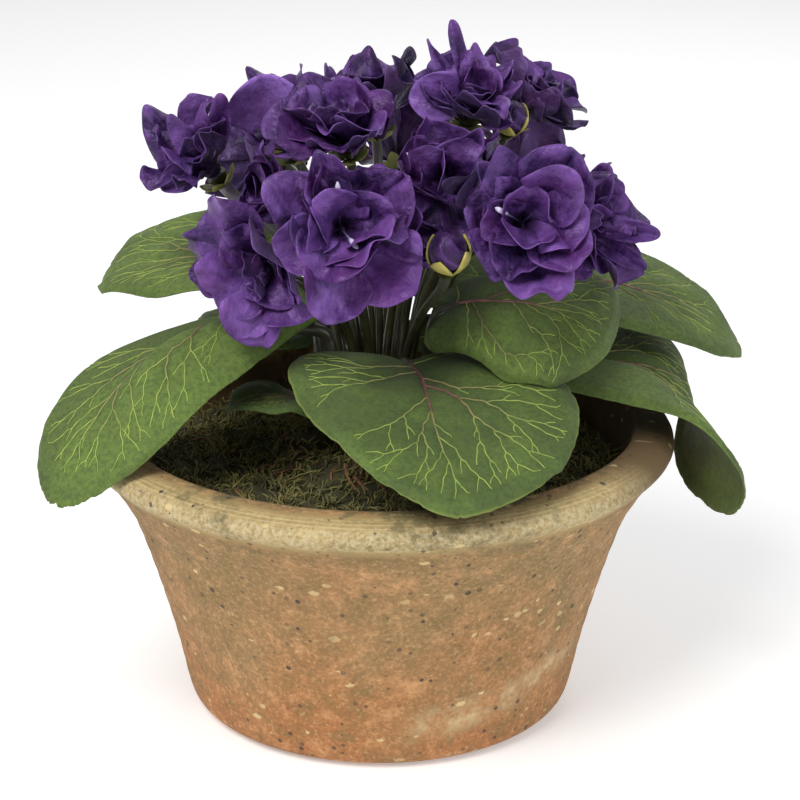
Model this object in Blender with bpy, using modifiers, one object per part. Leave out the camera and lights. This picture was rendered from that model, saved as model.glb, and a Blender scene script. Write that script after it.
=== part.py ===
# Potted African violet: double purple blooms over broad leaves, in a flared terracotta bowl.
# Metres, +Z up. The origin is the middle of the pot's flat foot, and the viewer stands at -Y.
import math

import bmesh
import bpy
from mathutils import Matrix, Vector, noise

MM = 0.001

# Driving sizes of the pot
RIM_RADIUS = 84 * MM
POT_HEIGHT = 85 * MM
FOOT_RADIUS = 50.5 * MM
WALL = 7 * MM
FLOOR = 8 * MM
FLOOR_RADIUS = 48 * MM
POT_SIDES = 40
# The flared wall outside, from under the rim to the foot: radius and height, in millimetres
WALL_CURVE = ((71.8, 62), (69.2, 55), (65.6, 44), (60.8, 27), (56.4, 6.6), (54.6, 2))
# The heights at which the inside of the wall bends
INNER_BENDS = (27, 55)
# The pot's inner radius and height where the moss ends against it
MOSS_RING = 69.5 * MM
MOSS_LINE = 69 * MM
# The rolled rim, from inside to outside: in from the rim's radius and down from its top, in millimetres
RIM_BEAD = ((12, 1.2), (11, 0), (4.2, 1), (1, 2.6), (0, 5), (1.2, 7.4), (4.8, 9.4))

# Growing medium and moss
FIT = 0.3 * MM
HOLE_PLAY = 0.55 * MM
HOLE_SIDES = 6
WEB = 0.6 * MM
MOSS_TOP = 74 * MM
MOSS_DEPTH = 7 * MM
MOUND_RADIUS = 23 * MM
MOUND_TOP = 78 * MM
MOUND_EDGE = (4 * MM, 3 * MM)
STALK_DEPTH = 10 * MM
COLLAR = 1 * MM
BED_SIDES = 20
# The moss's top: out from the mound and up from its level, in millimetres, with its lumps' height and size
MOSS_HUMPS = ((0, -1.5), (9, 0.6), (20, 0), (33, 0.4))
LUMP_HEIGHT = 1.6 * MM
LUMPS_PER_METRE = 60

# Thicknesses, stalks and the calyx under each bloom
BLADE = 0.8 * MM
PETAL = 0.7 * MM
LEAF_STALK = 1.9 * MM
BLOOM_STALK = 1.25 * MM
CROWN_SHARE = 0.19
CALYX_DEPTH = 4 * MM
CALYX_RADII = (1.5 * MM, 3 * MM)
CALYX_POINTS = 5
CALYX_DROP = 1.2 * MM

# Cells of a blade's grid, across and along
LEAF_CELLS = (6, 6)
FULL_CELLS = (2, 4)
PLAIN_CELLS = (2, 3)

LEAF_COLOUR = (0.10, 0.20, 0.05)
PETAL_COLOUR = (0.09, 0.03, 0.22)
BUD_COLOUR = (0.10, 0.03, 0.24)
STALK_COLOUR = (0.14, 0.18, 0.06)
CLAY_COLOUR = (0.50, 0.28, 0.14)
SOIL_COLOUR = (0.03, 0.022, 0.015)
MOSS_COLOUR = (0.07, 0.07, 0.02)

# Each leaf, in millimetres and degrees. midrib: the four points of its curve, from the stalk to the tip.
# halves: the widest reach of its two halves, here and in the other pairs the one that goes with a negative
# place across first. roll: at the base and the tip. fold and curl: negative hangs down. taper and waist: how
# much narrower the tip and the base are. ridge: of a crease beside the midrib. corner and egg: its outline.
# wave: of the edge. foot: where its stalk stands, round the crown.
LEAVES = {
    "leaf_front": dict(
        midrib=((7, -21, 108), (12, -42, 111), (17, -66, 101), (22, -84, 87.5)),
        halves=(41, 34), roll=(0, 0), fold=(6, 10), curl=(-20, -16), notch=0.15, tip=0.02, foot=288, wave=1.2,
        egg=(0.04, 0.26),
    ),
    "leaf_left_front": dict(
        midrib=((-18, -12, 115), (-44, -15, 117), (-76, -31, 115), (-87, -47, 75)),
        halves=(37, 29), roll=(0, 34), fold=(-5, -8), curl=(-12, -2), notch=0.10, tip=0.0, foot=212,
        wave=1.0, taper=(0.3, 0.2), waist=(0.85, 0.8), ridge=(6.5, 0),
    ),
    "leaf_left_back": dict(
        midrib=((-24, 11, 122), (-42, 16, 127), (-64, 21, 128), (-81, 23, 116)),
        halves=(24, 30), roll=(13, 14), fold=(12, 5), curl=(-14, -16), notch=0.14, tip=0.0, foot=158,
        wave=1.6, taper=(0.5, 0), corner=0.2, egg=(-0.08, -0.12),
    ),
    "leaf_right_front": dict(
        midrib=((18, -17, 122), (33, -22, 129), (49, -26, 127), (62, -28, 113)),
        halves=(32, 25), roll=(-6, -14), fold=(8, -26), curl=(-14, -26), notch=0.16, tip=0.0, foot=325,
        wave=1.5, waist=(0.6, 0.35), corner=0.36, egg=(-0.06, 0.02),
    ),
    "leaf_right_back": dict(
        midrib=((28, 9, 116), (52, 14, 127), (82, 19, 119), (105, 20, 97)),
        halves=(33, 20), roll=(-12, -16), fold=(4, 0), curl=(-18, -14), notch=0.12, tip=0.0, foot=22,
        wave=1.5, corner=0.36,
    ),
    "leaf_right_low": dict(
        midrib=((32, 0, 96), (60, -1, 108), (96, -12, 102), (98, -13, 60)),
        halves=(46, 22), roll=(-4, 58), fold=(6, 0), curl=(-8, -14), notch=0.06, tip=0.0, foot=350, wave=1.0,
        taper=(0.1, 0), waist=(0, 0.2), ridge=(0, 2.5),
    ),
    "leaf_left_low": dict(
        midrib=((-18, -23, 94), (-26, -23, 100), (-34, -25, 101), (-42, -28, 96)),
        halves=(12, 12), roll=(0, 0), fold=(0, 0), curl=(-8, -8), notch=0.08, tip=0.06, foot=240, wave=1.0,
    ),
    "leaf_back_left": dict(
        midrib=((-12, 24, 102), (-24, 46, 108), (-38, 68, 100), (-46, 86, 84)),
        halves=(28, 28), roll=(0, 0), fold=(0, 0), curl=(-16, -16), notch=0.12, tip=0.04, foot=118, wave=2.0,
    ),
    "leaf_back": dict(
        midrib=((6, 24, 114), (9, 46, 122), (13, 70, 114), (14, 90, 94)),
        halves=(31, 30), roll=(0, 4), fold=(0, -2), curl=(-14, -16), notch=0.14, tip=0.02, foot=84, wave=2.0,
    ),
    "leaf_back_right": dict(
        midrib=((17, 24, 96), (33, 45, 101), (49, 64, 94), (59, 78, 79)),
        halves=(24, 24), roll=(0, 0), fold=(0, 0), curl=(-14, -14), notch=0.10, tip=0.06, foot=52, wave=2.0,
    ),
}
LEAF_FOOT_RING = 18.5 * MM
# A leaf's outline: how round its corners are, how much each half's base outgrows its tip, and the widths of
# its notch and its point, as shares of its half width
LEAF_CORNER = 0.46
LEAF_EGG = (0.16, 0.16)
NOTCH_WIDTH = 0.34
TIP_WIDTH = 0.4
WAVES_ALONG = 9
# How far from the midrib a leaf's crease stands, as a share of its half, and where along the leaf it fades
RIDGE_PLACE = 0.3
RIDGE_FADE = (0.45, 0.85)

# Each bloom, in millimetres and degrees: its throat, the way it faces, its radius, how far its outer
# petals open from that way, its turn about it, the number of outer and inner petals, and the tips of any
# narrow petals that stand out of it. rise, bow and sway: how its stalk bends.
BLOOMS = {
    "bloom_far_left": dict(
        at=(-47, 0, 157), faces=(-0.55, -0.2, 0.8), radius=19, opens=54, turn=10, petals=(5, 3),
        darts=((-44, -4, 182), (-58, -6, 174)), bow=20, sway=(0, 14),
    ),
    "bloom_back_left": dict(
        at=(-26, 21, 159), faces=(-0.3, -0.45, 0.82), radius=24, opens=62, turn=80, petals=(5, 3),
    ),
    "bloom_left": dict(
        at=(-31, -4, 153), faces=(-0.6, -0.7, 0.35), radius=17, opens=70, turn=30, petals=(5, 3),
    ),
    "bloom_front": dict(
        at=(-10, -47, 153), faces=(0.02, -0.9, 0.42), radius=23.5, opens=78, turn=54,
        petals=(5, 4), full=True,
    ),
    "bloom_left_low": dict(
        at=(-29, -33, 138), faces=(-0.6, -0.75, -0.15), radius=20, opens=76, turn=20,
        petals=(5, 3), full=True,
    ),
    "bloom_top": dict(
        at=(24, -8, 176), faces=(0.05, -0.6, 0.8), radius=19, opens=76, turn=60, petals=(5, 4), full=True,
        darts=((19, -5, 200), (13, -4, 193)),
    ),
    "bloom_top_right": dict(
        at=(38, 14, 171), faces=(0.5, 0.0, 0.85), radius=19, opens=72, turn=10, petals=(5, 3),
    ),
    "bloom_top_left": dict(
        at=(-2, 18, 167), faces=(-0.1, -0.1, 0.98), radius=22, opens=72, turn=40, petals=(5, 3),
    ),
    "bloom_right": dict(
        at=(37, -40, 153), faces=(0.22, -0.92, 0.3), radius=22, opens=78, turn=18, petals=(5, 4), full=True,
        rise=0.98, sway=(-1, 0),
    ),
    "bloom_far_right": dict(
        at=(53, -7, 143), faces=(0.88, -0.45, 0.1), radius=19, opens=66, turn=0, petals=(5, 3),
        darts=((79, -10, 140), (74, -12, 130)), rise=1.0,
    ),
    "bloom_middle": dict(
        at=(-9, -17, 169), faces=(-0.12, -0.5, 0.84), radius=21, opens=72, turn=36, petals=(5, 3),
    ),
    "bloom_centre": dict(
        at=(17, -24, 160), faces=(0.0, -0.86, 0.5), radius=24, opens=80, turn=0, petals=(5, 3),
        darts=((27, -31, 176),),
    ),
    "bloom_front_low": dict(
        at=(11, -28, 147), faces=(0.1, -0.95, 0.1), radius=16, opens=76, turn=18, petals=(5, 2),
    ),
    "bloom_back_low": dict(
        at=(-31, 43, 149), faces=(-0.6, 0.75, 0.2), radius=19, opens=74, turn=30, petals=(5, 3),
    ),
    "bloom_back": dict(
        at=(5, 49, 147), faces=(0.0, 0.92, 0.38), radius=24, opens=76, turn=50, petals=(5, 3),
    ),
    "bloom_back_right": dict(
        at=(39, 38, 146), faces=(0.6, 0.7, 0.32), radius=23, opens=76, turn=12, petals=(5, 3),
    ),
}
# The two whorls of petals, the wide one first. Shares of the bloom's radius or opening, and millimetres for
# where the petals start: out from the axis and up along it. step: how far they stand between the others.
WHORLS = (
    dict(length=1.0, opens=1.0, half_width=0.62, cup=0.14, wave=0.07, start=1.6, raised=-1.0, step=0.0),
    dict(length=0.74, opens=0.5, half_width=0.56, cup=0.3, wave=0.05, start=1.1, raised=1.0, step=0.5),
)
PINWHEEL = 0.16
DART_WIDTH = 8 * MM
# Petals of neighbouring blooms bend back from the plane between them
NEAR = 1.3
PETAL_GAP = 1.1 * MM
BEND = 6 * MM
CORE_RADIUS = 3.2 * MM
CORE_DEPTH = 4.0 * MM
CORE_SIDES = 8

BUDS = {
    "bud_front": dict(at=(18, -42, 143), faces=(0.05, -0.5, 0.85), radius=5.2, rise=0.84, sway=(4, -3)),
    "bud_top": dict(at=(35, -4, 171), faces=(0.2, -0.55, 0.8), radius=4.2),
}
BUD_STRETCH = 1.15
BUD_RINGS = (10, 7)


def start_scene():
    for obj in list(bpy.data.objects):
        bpy.data.objects.remove(obj)
    plant = bpy.data.collections.new("potted_african_violet")
    bpy.context.scene.collection.children.link(plant)
    return plant


def material(name, colour, roughness):
    made = bpy.data.materials.new(name)
    made.use_nodes = True
    shader = made.node_tree.nodes["Principled BSDF"]
    shader.inputs["Base Color"].default_value = (*colour, 1)
    shader.inputs["Roughness"].default_value = roughness
    return made


def add_object(name, mesh, finish, collection):
    obj = bpy.data.objects.new(name, mesh)
    if finish is not None:
        mesh.materials.clear()
        mesh.materials.append(finish)
    collection.objects.link(obj)
    return obj


def mesh_of(name, shape):
    bmesh.ops.recalc_face_normals(shape, faces=shape.faces)
    mesh = bpy.data.meshes.new(name)
    shape.to_mesh(mesh)
    shape.free()
    return mesh


def evaluated_mesh(obj):
    # The object's shape with its modifiers, as a plain mesh in world space.
    bpy.context.view_layer.update()
    graph = bpy.context.evaluated_depsgraph_get()
    mesh = bpy.data.meshes.new_from_object(obj.evaluated_get(graph))
    mesh.transform(obj.matrix_world)
    return mesh


def swap_for_mesh(obj, collection, finish=None):
    # Applies an object's modifiers, or turns a curve into a mesh with its caps welded.
    name = obj.name
    mesh = evaluated_mesh(obj)
    bpy.data.objects.remove(obj)
    shape = bmesh.new()
    shape.from_mesh(mesh)
    bmesh.ops.remove_doubles(shape, verts=shape.verts, dist=0.01 * MM)
    bmesh.ops.triangulate(shape, faces=shape.faces)
    bpy.data.meshes.remove(mesh)
    return add_object(name, mesh_of(name, shape), finish, collection)


def keep_outer_shell(mesh):
    # Fills the small hollows that a union can seal in, and drops any scrap: only the widest shell stays.
    shape = bmesh.new()
    shape.from_mesh(mesh)
    waiting = set(shape.verts)
    shells = []
    while waiting:
        shell = {waiting.pop()}
        edge = list(shell)
        while edge:
            for link in edge.pop().link_edges:
                fresh = {v for v in link.verts if v not in shell}
                shell |= fresh
                edge.extend(fresh)
        waiting -= shell
        shells.append(shell)
    shells.sort(key=len)
    for shell in shells[:-1]:
        bmesh.ops.delete(shape, geom=list(shell), context="VERTS")
    shape.to_mesh(mesh)
    shape.free()


def joined(name, body, others, collection, finish):
    # One Boolean union of the body with every object of others, applied.
    pieces = bpy.data.collections.new(name + "_pieces")
    bpy.context.scene.collection.children.link(pieces)
    for other in others:
        collection.objects.unlink(other)
        pieces.objects.link(other)
    union = body.modifiers.new("union", "BOOLEAN")
    union.operation = "UNION"
    union.operand_type = "COLLECTION"
    union.collection = pieces
    union.solver = "MANIFOLD"
    mesh = evaluated_mesh(body)
    for obj in [body, *others]:
        bpy.data.objects.remove(obj)
    bpy.data.collections.remove(pieces)
    keep_outer_shell(mesh)
    return add_object(name, mesh, finish, collection)


def thin_plate(name, patches, thickness, collection):
    # A blade: grids bent by their place functions, welded, split into triangles and given their thickness.
    shape = bmesh.new()
    for (across, along), place in patches:
        grid = bmesh.ops.create_grid(shape, x_segments=across, y_segments=along, size=1)
        for vertex in grid["verts"]:
            vertex.co = place(vertex.co.x, vertex.co.y)
    bmesh.ops.remove_doubles(shape, verts=shape.verts, dist=0.01 * MM)
    bmesh.ops.triangulate(shape, faces=shape.faces)
    bmesh.ops.recalc_face_normals(shape, faces=shape.faces)
    mesh = bpy.data.meshes.new(name)
    shape.to_mesh(mesh)
    shape.free()
    plate = add_object(name, mesh, None, collection)
    wall = plate.modifiers.new("wall", "SOLIDIFY")
    wall.thickness = thickness
    wall.offset = 0
    return swap_for_mesh(plate, collection)


def tube(name, points, radius, collection, resolution=1):
    line = bpy.data.curves.new(name, "CURVE")
    line.dimensions = "3D"
    line.bevel_depth = radius
    line.bevel_resolution = resolution
    line.use_fill_caps = True
    spline = line.splines.new("POLY")
    spline.points.add(len(points) - 1)
    for point, place in zip(spline.points, points):
        point.co = (*place, 1)
    obj = bpy.data.objects.new(name, line)
    collection.objects.link(obj)
    return swap_for_mesh(obj, collection)


def bezier(points, t):
    a, b, c, d = points
    s = 1 - t
    return a * s**3 + b * 3 * s * s * t + c * 3 * s * t * t + d * t**3


def bezier_slope(points, t):
    a, b, c, d = points
    s = 1 - t
    return (b - a) * 3 * s * s + (c - b) * 6 * s * t + (d - c) * 3 * t * t


def smooth(t):
    t = min(1.0, max(0.0, t))
    return t * t * (3 - 2 * t)


def disc(a, b, corner):
    # A square from -1 to 1 laid over a round disc, so that a grid gets a rounded outline.
    return a * math.sqrt(1 - corner * b * b), b * math.sqrt(1 - corner * a * a)


def leaf_outline(a, b, leaf):
    # Across, in half widths, and along the midrib, where 0 is the stalk, 1 the tip and the lobes lie below 0.
    x, y = disc(a, b, leaf.get("corner", LEAF_CORNER))
    egg = leaf.get("egg", LEAF_EGG)[1 if a > 0 else 0]
    notch, tip = leaf["notch"], leaf["tip"]
    base = (1 - y) / 2
    top = (1 + y) / 2
    along = top
    along += notch * base**3 * math.exp(-((x / NOTCH_WIDTH) ** 2))
    along += tip * top**4 * math.exp(-((x / TIP_WIDTH) ** 2))
    return x * (1 - egg * y), (along - notch) / (1 + tip - notch)


def leaf_place(leaf, across, along):
    # The point of the blade at that place of its flat outline.
    curve = [Vector(p) * MM for p in leaf["midrib"]]
    held = min(1.0, max(0.0, along))
    centre = bezier(curve, held)
    slope = bezier_slope(curve, held)
    forward = slope.normalized()
    if along < 0:
        centre = centre + slope * along
    heading = curve[3] - curve[0]
    side = Vector((heading.y, -heading.x, 0))
    side = (side - forward * side.dot(forward)).normalized()
    normal = side.cross(forward)
    roll0, roll1 = (math.radians(r) for r in leaf["roll"])
    roll = roll0 + (roll1 - roll0) * held**3
    side, normal = (
        side * math.cos(roll) + normal * math.sin(roll),
        normal * math.cos(roll) - side * math.sin(roll),
    )
    hand = 1 if across > 0 else 0
    half = leaf["halves"][hand] * MM * (1 - leaf.get("taper", (0, 0))[hand] * held**3)
    half *= 1 - leaf.get("waist", (0, 0))[hand] * (1 - held) ** 2
    fold = math.radians(leaf["fold"][hand])
    curl = math.radians(leaf["curl"][hand])
    reach = abs(across)
    out = (math.sin(fold + curl * reach) - math.sin(fold)) / curl * half
    lift = (math.cos(fold) - math.cos(fold + curl * reach)) / curl * half
    crease = leaf.get("ridge", (0, 0))[hand] * MM * reach / RIDGE_PLACE * math.exp(1 - reach / RIDGE_PLACE)
    lift += crease * smooth((RIDGE_FADE[1] - along) / (RIDGE_FADE[1] - RIDGE_FADE[0]))
    edge = max(reach, 2 * held - 1) ** 3 * smooth(2 * reach)
    phase = 2 * math.copysign(1, across) + leaf["foot"]
    lift += leaf["wave"] * MM * edge * math.sin(WAVES_ALONG * along + phase)
    return centre + side * math.copysign(out, across) + normal * lift


def leaf_foot(leaf):
    # Where a leaf's stalk stands, on the ring round the crown.
    angle = math.radians(leaf["foot"])
    return Vector((LEAF_FOOT_RING * math.cos(angle), LEAF_FOOT_RING * math.sin(angle)))


def stalk_base(spot):
    # The two ends of a stalk's straight part: down in its hole, and just over the mound.
    low = spot.to_3d() + Vector((0, 0, MOUND_TOP - STALK_DEPTH + FIT))
    return low, low + Vector((0, 0, STALK_DEPTH + COLLAR))


def leaf_stalk_route(leaf):
    # Straight up out of its hole in the growing medium, over to the blade's base, then under the midrib.
    curve = [Vector(p) * MM for p in leaf["midrib"]]
    low, collar = stalk_base(leaf_foot(leaf))
    under = Vector((0, 0, -0.4 * LEAF_STALK))
    head = curve[0] + under
    rise = Vector((0, 0, 0.5 * (head.z - collar.z)))
    path = [collar, collar + rise, head - bezier_slope(curve, 0).normalized() * 8 * MM, head]
    points = [low] + [bezier(path, i / 4) for i in range(5)]
    points.append(leaf_place(leaf, 0, 0.16) + under)
    return points


def make_leaf(name, leaf, finish, plant):
    patches = [(LEAF_CELLS, lambda a, b: leaf_place(leaf, *leaf_outline(a, b, leaf)))]
    blade = thin_plate(name + "_blade", patches, BLADE, plant)
    stalk = tube(name + "_stalk", leaf_stalk_route(leaf), LEAF_STALK, plant)
    return joined(name, blade, [stalk], plant, finish)


def bloom_frame(bloom):
    # Turns a bloom's own frame, where it faces +Z, into the plant's.
    way = Vector(bloom["faces"]).normalized()
    turn = Matrix.Rotation(math.radians(bloom.get("turn", 0)), 4, "Z")
    aim = way.to_track_quat("Z", "Y").to_matrix().to_4x4()
    return Matrix.Translation(Vector(bloom["at"]) * MM) @ aim @ turn


def petals_of(name, bloom):
    # The rule for a bloom's petals: a wide outer whorl, and a smaller and steeper one inside it.
    whorls = []
    seed = sum(ord(letter) for letter in name)
    radius = bloom["radius"] * MM
    for layer, rule in enumerate(WHORLS):
        count = bloom["petals"][layer]
        petals = []
        for i in range(count):
            chance = [noise.noise(Vector((seed * 1.7 + i * 3.1, 1 - layer, k * 5.3))) for k in range(6)]
            length = radius * (rule["length"] + 0.24 * chance[0])
            opens = bloom["opens"] * rule["opens"] + 12 * chance[1]
            petals.append(
                dict(
                    sector=math.pi / count,
                    around=2 * math.pi / count * (i + rule["step"]),
                    swing=0.16 * chance[2],
                    length=length,
                    half_width=length * (rule["half_width"] + 0.1 * chance[3]),
                    opens=(0.7 * opens, opens * 1.12 + 14 * chance[4]),
                    cup=rule["cup"],
                    wave=radius * rule["wave"],
                    waves=3 + round(2 * abs(chance[5])),
                    phase=6.3 * chance[0] + i,
                    start=rule["start"] * MM,
                    raised=rule["raised"] * MM,
                )
            )
        whorls.append(petals)
    to_bloom = bloom_frame(bloom).inverted()
    for tip in bloom.get("darts", ()):
        reach = to_bloom @ (Vector(tip) * MM)
        opens = math.degrees(reach.angle((0, 0, 1)))
        whorls.append([
            dict(
                sector=math.pi / 3,
                around=math.atan2(reach.y, reach.x),
                swing=0.0,
                length=reach.length,
                half_width=DART_WIDTH / 2,
                opens=(opens, opens),
                cup=0.4,
                wave=0.4 * MM,
                waves=2,
                phase=0.0,
                start=0.4 * MM,
                raised=0.5 * MM,
            )
        ])
    return whorls


def petal_place(petal, a, s):
    # A petal's point in its bloom's own frame: a across, from -1 to 1, and s along, from 0 at its root to 1.
    tip = max(0.0, 2 * s - 1)
    x = a * math.sqrt(1 - 0.5 * tip * tip)
    along = s if s < 0.5 else 0.5 + 0.5 * tip * math.sqrt(1 - 0.5 * a * a)
    first, last = (math.radians(v) for v in petal["opens"])
    out, up = petal["start"], petal["raised"]
    steps = 12
    for i in range(steps):
        share = min(1.0, max(0.0, along * steps - i))
        angle = first + (last - first) * ((i + 0.5) / steps) ** 1.2
        out += petal["length"] / steps * share * math.sin(angle)
        up += petal["length"] / steps * share * math.cos(angle)
    angle = first + (last - first) * along**1.2
    wide = petal["half_width"] * smooth(0.25 + 0.75 * along / 0.6)
    spread = math.tan(petal["sector"]) * out
    across = x * min(wide, spread) if along > 0 else x * spread
    rim = smooth(along * 1.6) * max(abs(x), tip) ** 2.5
    lift = petal["cup"] * wide * x * x * smooth(along * 1.4)
    lift += petal["wave"] * rim * math.sin(petal["waves"] * 2 * math.atan2(x, along) + petal["phase"])
    lift -= PINWHEEL * wide * x * smooth(along * 2)
    turn = petal["around"] + petal["swing"] * smooth(along * 2)
    point = Vector((out - math.cos(angle) * lift, across, up + math.sin(angle) * lift))
    return Matrix.Rotation(turn, 3, "Z") @ point


def petal_patch(petal, cells, a, b):
    # A petal's grid has one more row, drawn in to the bloom's axis, so that a whorl's petals hold together.
    row = (b + 1) / 2 * cells[1]
    if row < 0.5:
        return Vector((0, 0, petal["raised"]))
    return petal_place(petal, a, (row - 1) / (cells[1] - 1))


def neighbours_of(name):
    # For every bloom or bud near this one: a plane between the two, which its petals bend back from.
    mine = {**BLOOMS, **BUDS}[name]
    centre = Vector(mine["at"]) * MM
    planes = []
    for other, theirs in {**BLOOMS, **BUDS}.items():
        if other == name:
            continue
        towards = Vector(theirs["at"]) * MM - centre
        reach = (mine["radius"] + theirs["radius"]) * MM
        if towards.length < NEAR * reach:
            share = mine["radius"] * MM / reach
            planes.append((centre + towards * share, towards.normalized()))
    return planes


def bent_clear(point, planes):
    # Moves a point back from each plane by a smooth bend, so that neighbouring petals never cross.
    for _ in range(3):
        for middle, away in planes:
            past = (point - middle).dot(away) + PETAL_GAP
            if past > -BEND:
                point = point - away * (past + BEND * math.exp(-(past + BEND) / BEND))
    return point


def make_bloom(name, bloom, finish, plant):
    frame = bloom_frame(bloom)
    planes = neighbours_of(name)
    core = bmesh.new()
    bmesh.ops.create_cone(
        core, cap_ends=True, segments=CORE_SIDES, radius1=0.7 * CORE_RADIUS, radius2=CORE_RADIUS,
        depth=CORE_DEPTH, matrix=frame,
    )
    body = add_object(name + "_core", mesh_of(name + "_core", core), None, plant)
    plates = []
    for whorl in petals_of(name, bloom):
        cells = FULL_CELLS if bloom.get("full") and not plates else PLAIN_CELLS
        patches = []
        for petal in whorl:
            def place(a, b, petal=petal, cells=cells):
                return bent_clear(frame @ petal_patch(petal, cells, a, b), planes)

            patches.append((cells, place))
        plates.append(thin_plate(f"{name}_whorl_{len(plates)}", patches, PETAL, plant))
    return joined(name, body, plates, plant, finish)


def bloom_feet():
    # Where each flower stalk stands: under its bloom, drawn in to the crown, and pushed apart to stand clear.
    pieces = {**BLOOMS, **BUDS}
    names = list(pieces)
    spots = {n: Vector(pieces[n]["at"]).xy * CROWN_SHARE * MM for n in names}
    apart = 2 * (BLOOM_STALK + HOLE_PLAY) + WEB
    for _ in range(200):
        for i, first in enumerate(names):
            for second in names[i + 1 :]:
                gap = spots[second] - spots[first]
                if gap.length < apart:
                    push = gap.normalized() * (apart - gap.length) / 2
                    spots[first] = spots[first] - push
                    spots[second] = spots[second] + push
    return spots


def stalk_route(piece, foot):
    way = Vector(piece["faces"]).normalized()
    head = Vector(piece["at"]) * MM - way * (CORE_DEPTH / 2 + FIT + CALYX_DEPTH - 0.5 * MM)
    low, collar = stalk_base(foot)
    sway = Vector(piece.get("sway", (0, 0))) * MM
    bend = collar + Vector((sway.x, sway.y, piece.get("rise", 0.7) * (head.z - collar.z)))
    path = [collar, bend, head - way * piece.get("bow", 12) * MM, head]
    return [low] + [bezier(path, i / 5) for i in range(6)]


def make_stalk(name, piece, foot, finish, plant):
    # A flower stalk with the star-shaped calyx that the bloom sits in.
    stalk = tube(name + "_tube", stalk_route(piece, foot), BLOOM_STALK, plant)
    frame = bloom_frame(piece)
    top = -CORE_DEPTH / 2 - FIT
    cup = bmesh.new()
    bmesh.ops.create_cone(
        cup, cap_ends=True, segments=2 * CALYX_POINTS, radius1=CALYX_RADII[0], radius2=CALYX_RADII[1],
        depth=CALYX_DEPTH, matrix=Matrix.Translation((0, 0, top - CALYX_DEPTH / 2)),
    )
    rim = [v for v in cup.verts if v.co.z > top - 0.1 * MM]
    rim.sort(key=lambda v: math.atan2(v.co.y, v.co.x))
    for vertex in rim[::2]:
        vertex.co.x *= 2.0
        vertex.co.y *= 2.0
        vertex.co.z -= CALYX_DROP
    bmesh.ops.transform(cup, matrix=frame, verts=cup.verts)
    bmesh.ops.triangulate(cup, faces=cup.faces)
    body = add_object(name + "_cup", mesh_of(name + "_cup", cup), None, plant)
    return joined(name, body, [stalk], plant, finish)


def turned(name, profile, sides, finish, plant, closed=False):
    # A round piece from its half profile, which runs down its outer side.
    shape = bmesh.new()
    points = [shape.verts.new((r, 0, z)) for r, z in profile]
    for first, second in zip(points, points[1:] + points[:1] if closed else points[1:]):
        shape.edges.new((first, second))
    mesh = bpy.data.meshes.new(name)
    shape.to_mesh(mesh)
    shape.free()
    obj = add_object(name, mesh, finish, plant)
    screw = obj.modifiers.new("turn", "SCREW")
    screw.steps = sides
    screw.render_steps = sides
    screw.use_merge_vertices = True
    screw.merge_threshold = 0.00005
    return obj


def inside_profile():
    # The inside of the bowl, from the edge of its floor up to where the moss ends.
    bends = [(radius * MM - WALL, height * MM) for radius, height in WALL_CURVE if height in INNER_BENDS]
    return [(FLOOR_RADIUS, FLOOR), *sorted(bends), (MOSS_RING, MOSS_LINE)]


def inside_radius(height):
    # How far the bowl's inside stands from the axis at this height.
    points = inside_profile()
    for (r0, z0), (r1, z1) in zip(points, points[1:]):
        if height <= z1:
            return r0 + (r1 - r0) * (height - z0) / (z1 - z0)
    return MOSS_RING


def make_pot(finish, plant):
    # From the middle of the floor up the inside, over the rolled rim and down the flared wall to the foot.
    bead = [(RIM_RADIUS - inward * MM, POT_HEIGHT - down * MM) for inward, down in RIM_BEAD]
    wall = [(radius * MM, height * MM) for radius, height in WALL_CURVE]
    profile = [(0, FLOOR), *inside_profile(), *bead, *wall, (FOOT_RADIUS, 0), (0, 0)]
    return turned("pot", profile, POT_SIDES, finish, plant)


def make_bed(holes, finish, plant):
    # The growing medium fills the bowl and stands up in a mound round the crown, with a plain hole a stalk.
    under_moss = MOSS_TOP - MOSS_DEPTH - FIT
    heights = [under_moss, *sorted((h * MM for h in INNER_BENDS), reverse=True), FLOOR + FIT]
    profile = [
        (0, MOUND_TOP),
        (MOUND_RADIUS - MOUND_EDGE[0], MOUND_TOP),
        (MOUND_RADIUS - FIT, MOUND_TOP - MOUND_EDGE[1]),
        (MOUND_RADIUS - FIT, under_moss),
        *((inside_radius(height) - FIT, height) for height in heights),
        (0, FLOOR + FIT),
    ]
    bed = turned("growing_medium", profile, BED_SIDES, finish, plant)
    cutters = bpy.data.collections.new("hole_cutters")
    bpy.context.scene.collection.children.link(cutters)
    for i, (spot, radius) in enumerate(holes):
        shape = bmesh.new()
        bmesh.ops.create_cone(
            shape, cap_ends=True, segments=HOLE_SIDES, radius1=radius, radius2=radius,
            depth=2 * STALK_DEPTH, matrix=Matrix.Translation((spot.x, spot.y, MOUND_TOP)),
        )
        cutter = add_object(f"hole_{i}", mesh_of(f"hole_{i}", shape), None, cutters)
        cutter.hide_render = True
        cutter.display_type = "WIRE"
    bore = bed.modifiers.new("holes", "BOOLEAN")
    bore.operation = "DIFFERENCE"
    bore.operand_type = "COLLECTION"
    bore.collection = cutters
    bore.solver = "MANIFOLD"
    return bed


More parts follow.
